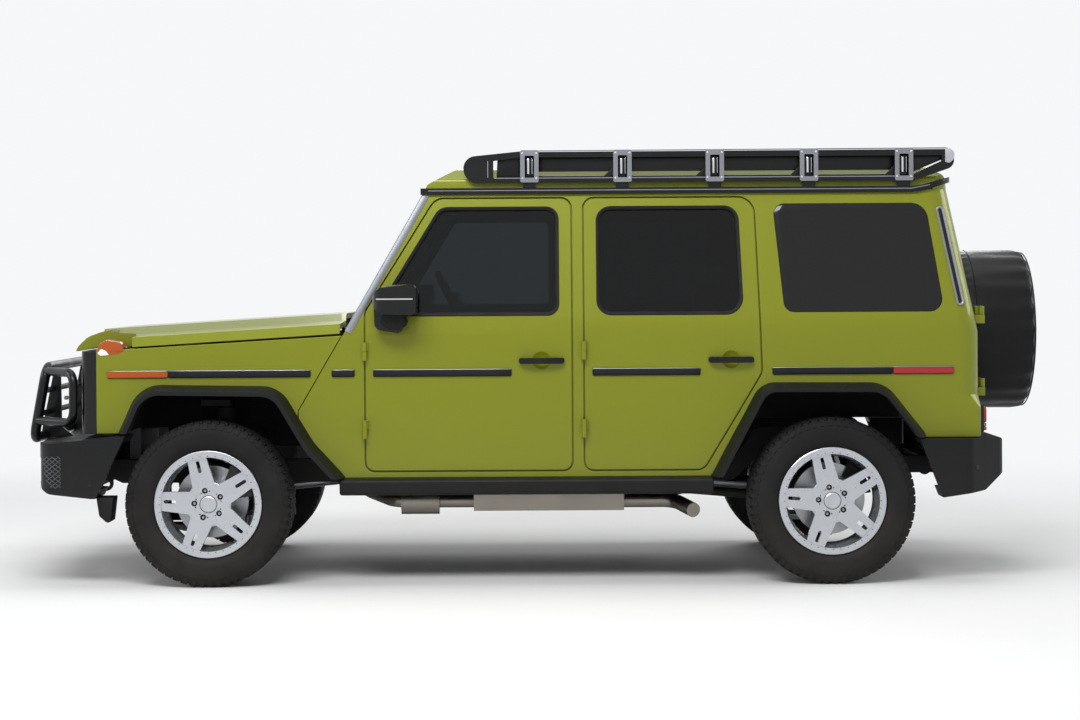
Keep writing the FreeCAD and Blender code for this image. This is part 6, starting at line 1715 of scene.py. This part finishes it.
# %% Steering wheel
COLUMN_LEAN = math.radians(28)
HUB_PAD = [(0.0, 0.001), (0.0, 0.060), (-0.018, 0.060), (-0.028, 0.050), (-0.032, 0.001)]
HUB_RING = [(-0.020, 0.056), (-0.024, 0.056), (-0.024, 0.053), (-0.034, 0.053), (-0.034, 0.0565),
            (-0.026, 0.0585)]
panel("steering_wheel", LEATHER, 0.003)
spin = Vector((math.cos(COLUMN_LEAN), 0, -math.sin(COLUMN_LEAN)))
turn = spin.to_track_quat("Z", "Y").to_matrix().to_4x4()
for material, profile in ((CABIN, HUB_PAD), (BRIGHT, HUB_RING)):
    mesh = turned_mesh(profile, axis="Z", steps=48)
    mesh.transform(Matrix.Translation(at(-1130, 0.375, 903) - spin * 0.016) @ turn)
    add("steering_wheel", material, mesh)
print("steering wheel at", middle("steering_wheel"))

# %% [markdown]
# Inside, a door carries a moulded card with an armrest, a round grille for the loudspeaker and a pull. They
# are seen when a door stands open, so each rides on its door. The left one is made and mirrored.

# %% Door cards
CARD_Y = 0.812
SPEAKER = [(0.0, 0.001), (0.0, 0.075), (-0.006, 0.075), (-0.010, 0.070), (-0.010, 0.001)]
for door, front_u, rear_u in (("door_front_left", -800, -1600), ("door_rear_left", -1830, -2440)):
    middle_u = (front_u + rear_u) / 2
    rest = [(front_u - 180, 640, 18), (rear_u + 40, 640, 18), (rear_u + 40, 700, 20), (front_u - 120, 712, 20)]
    card = [(front_u - 60, 250, 30), (rear_u + 40, 250, 30), (rear_u + 40, 600, 30), (front_u - 60, 600, 30)]
    pull = [(middle_u + 60, 744, 6), (middle_u - 50, 744, 6), (middle_u - 50, 764, 6), (middle_u + 60, 764, 6)]
    add_both(door, LEATHER, side_block(rest, CARD_Y - 0.052, CARD_Y, 0.010))
    add_both(door, CABIN, side_block(card, CARD_Y - 0.008, CARD_Y + 0.004, 0.003))
    add_both(door, SATIN, turned_mesh(SPEAKER, at(front_u - 190, CARD_Y - 0.008, 370), "Y", 40))
    add_both(door, BRIGHT, side_block(pull, CARD_Y - 0.016, CARD_Y + 0.002, 0.003))
place_kit("cabin_trim")

# %% [markdown]
# The studio is a plain pale floor that fades into the background, a large soft lamp overhead and to the
# camera's side, and weaker ones at the ends so that no panel falls into black. The floor keeps the shadow.
# The world is bright for the camera, for reflections and for what is seen through glass, but it lights
# less.

# %% Floor
BACKDROP = (0.965, 0.98, 1.0, 1.0)
BACKDROP_LEVEL = 0.95
FLOOR_HALF = 40


def floor_finish():
    """Pale and cloudy near the vehicle; far away it glows like the background, so no horizon shows."""
    material, tree, shader = new_material("pale floor")
    fill(shader, Roughness=0.85)
    coords = put(tree, "ShaderNodeTexCoord")
    noise = put(tree, "ShaderNodeTexNoise", Scale=1.2, Detail=5.0)
    tone = put(tree, "ShaderNodeMapRange", To_Min=0.76, To_Max=0.82)
    away = put(tree, "ShaderNodeVectorMath")
    away.operation = "LENGTH"
    fade = put(tree, "ShaderNodeMapRange", From_Min=3.2, From_Max=8.0)
    fade.interpolation_type = "SMOOTHSTEP"
    glow = put(tree, "ShaderNodeEmission", Color=BACKDROP, Strength=BACKDROP_LEVEL)
    mix = put(tree, "ShaderNodeMixShader")
    wire(tree, (coords, "Object", noise, "Vector"), (coords, "Object", away, 0), (noise, "Fac", tone, "Value"),
         (tone, "Result", shader, "Base Color"), (away, "Value", fade, "Value"), (fade, "Result", mix, "Fac"),
         (shader, "BSDF", mix, 1), (glow, "Emission", mix, 2),
         (mix, "Shader", tree.nodes["Material Output"], "Surface"))
    return material


floor_mesh = bpy.data.meshes.new("floor")
corners = [(x * FLOOR_HALF, y * FLOOR_HALF, 0) for x, y in ((-1, -1), (1, -1), (1, 1), (-1, 1))]
floor_mesh.from_pydata(corners, [], [(0, 1, 2, 3)])
floor_mesh.materials.append(floor_finish())
scene_object("floor", floor_mesh)
print("floor side:", 2 * FLOOR_HALF)


# %% World and lamps
def world_light():
    world = bpy.data.worlds.new("studio")
    bpy.context.scene.world = world
    world.use_nodes = True
    tree = world.node_tree
    back = fill(tree.nodes["Background"], Color=BACKDROP)
    path = put(tree, "ShaderNodeLightPath")
    seen, seen_too = put_math(tree, "MAXIMUM"), put_math(tree, "MAXIMUM")
    level = put(tree, "ShaderNodeMapRange", To_Min=0.33, To_Max=BACKDROP_LEVEL)
    wire(tree, (path, "Is Camera Ray", seen, 0), (path, "Is Glossy Ray", seen, 1), (seen, 0, seen_too, 0),
         (path, "Is Transmission Ray", seen_too, 1), (seen_too, 0, level, "Value"),
         (level, "Result", back, "Strength"))


def soft_lamp(name, place, aim_z, size, power):
    lamp = bpy.data.lights.new(name, "AREA")
    lamp.shape = "RECTANGLE"
    lamp.size, lamp.size_y = size
    lamp.energy = power
    obj = scene_object(name, lamp)
    obj.location = place
    obj.rotation_euler = (Vector((0, 0, aim_z)) - Vector(place)).to_track_quat("-Z", "Y").to_euler()


world_light()
soft_lamp("key lamp", (1.5, 6.5, 6.5), 0.9, (5.0, 2.5), 560)
soft_lamp("top lamp", (0, 0, 7.5), 1.0, (7.0, 4.0), 170)
soft_lamp("front lamp", (9.0, 1.0, 4.0), 0.9, (4.0, 3.0), 170)
soft_lamp("rear lamp", (-9.0, -1.0, 4.5), 0.9, (4.0, 3.0), 170)
soft_lamp("far side lamp", (-1.0, -8.0, 5.0), 0.9, (6.0, 3.0), 220)
print("lamps:", len(bpy.data.lights))

# %% [markdown]
# The camera stands square to the left side, twelve metres away at eye height, on a long lens. Its film is
# shifted down a little, because the camera looks level but the vehicle's middle is lower than its lens.

# %% Camera
CAMERA_PLACE = (0.0295, 11.951, 1.410)
LENS_MM, SENSOR_MM = 79.43, 36.0
CAMERA_ROLL = math.radians(0.33)
camera_data = bpy.data.cameras.new("camera")
camera_data.lens = LENS_MM
camera_data.sensor_width = SENSOR_MM
camera_data.shift_x = 0.0037
camera_data.shift_y = -0.0731
camera_data.clip_end = 200.0
camera = scene_object("camera", camera_data)
camera.location = CAMERA_PLACE
camera.rotation_euler = (math.pi / 2, CAMERA_ROLL, math.pi)
bpy.context.scene.camera = camera
bpy.context.scene.view_settings.view_transform = "Standard"
print("camera at", CAMERA_PLACE, "with a lens of", LENS_MM)
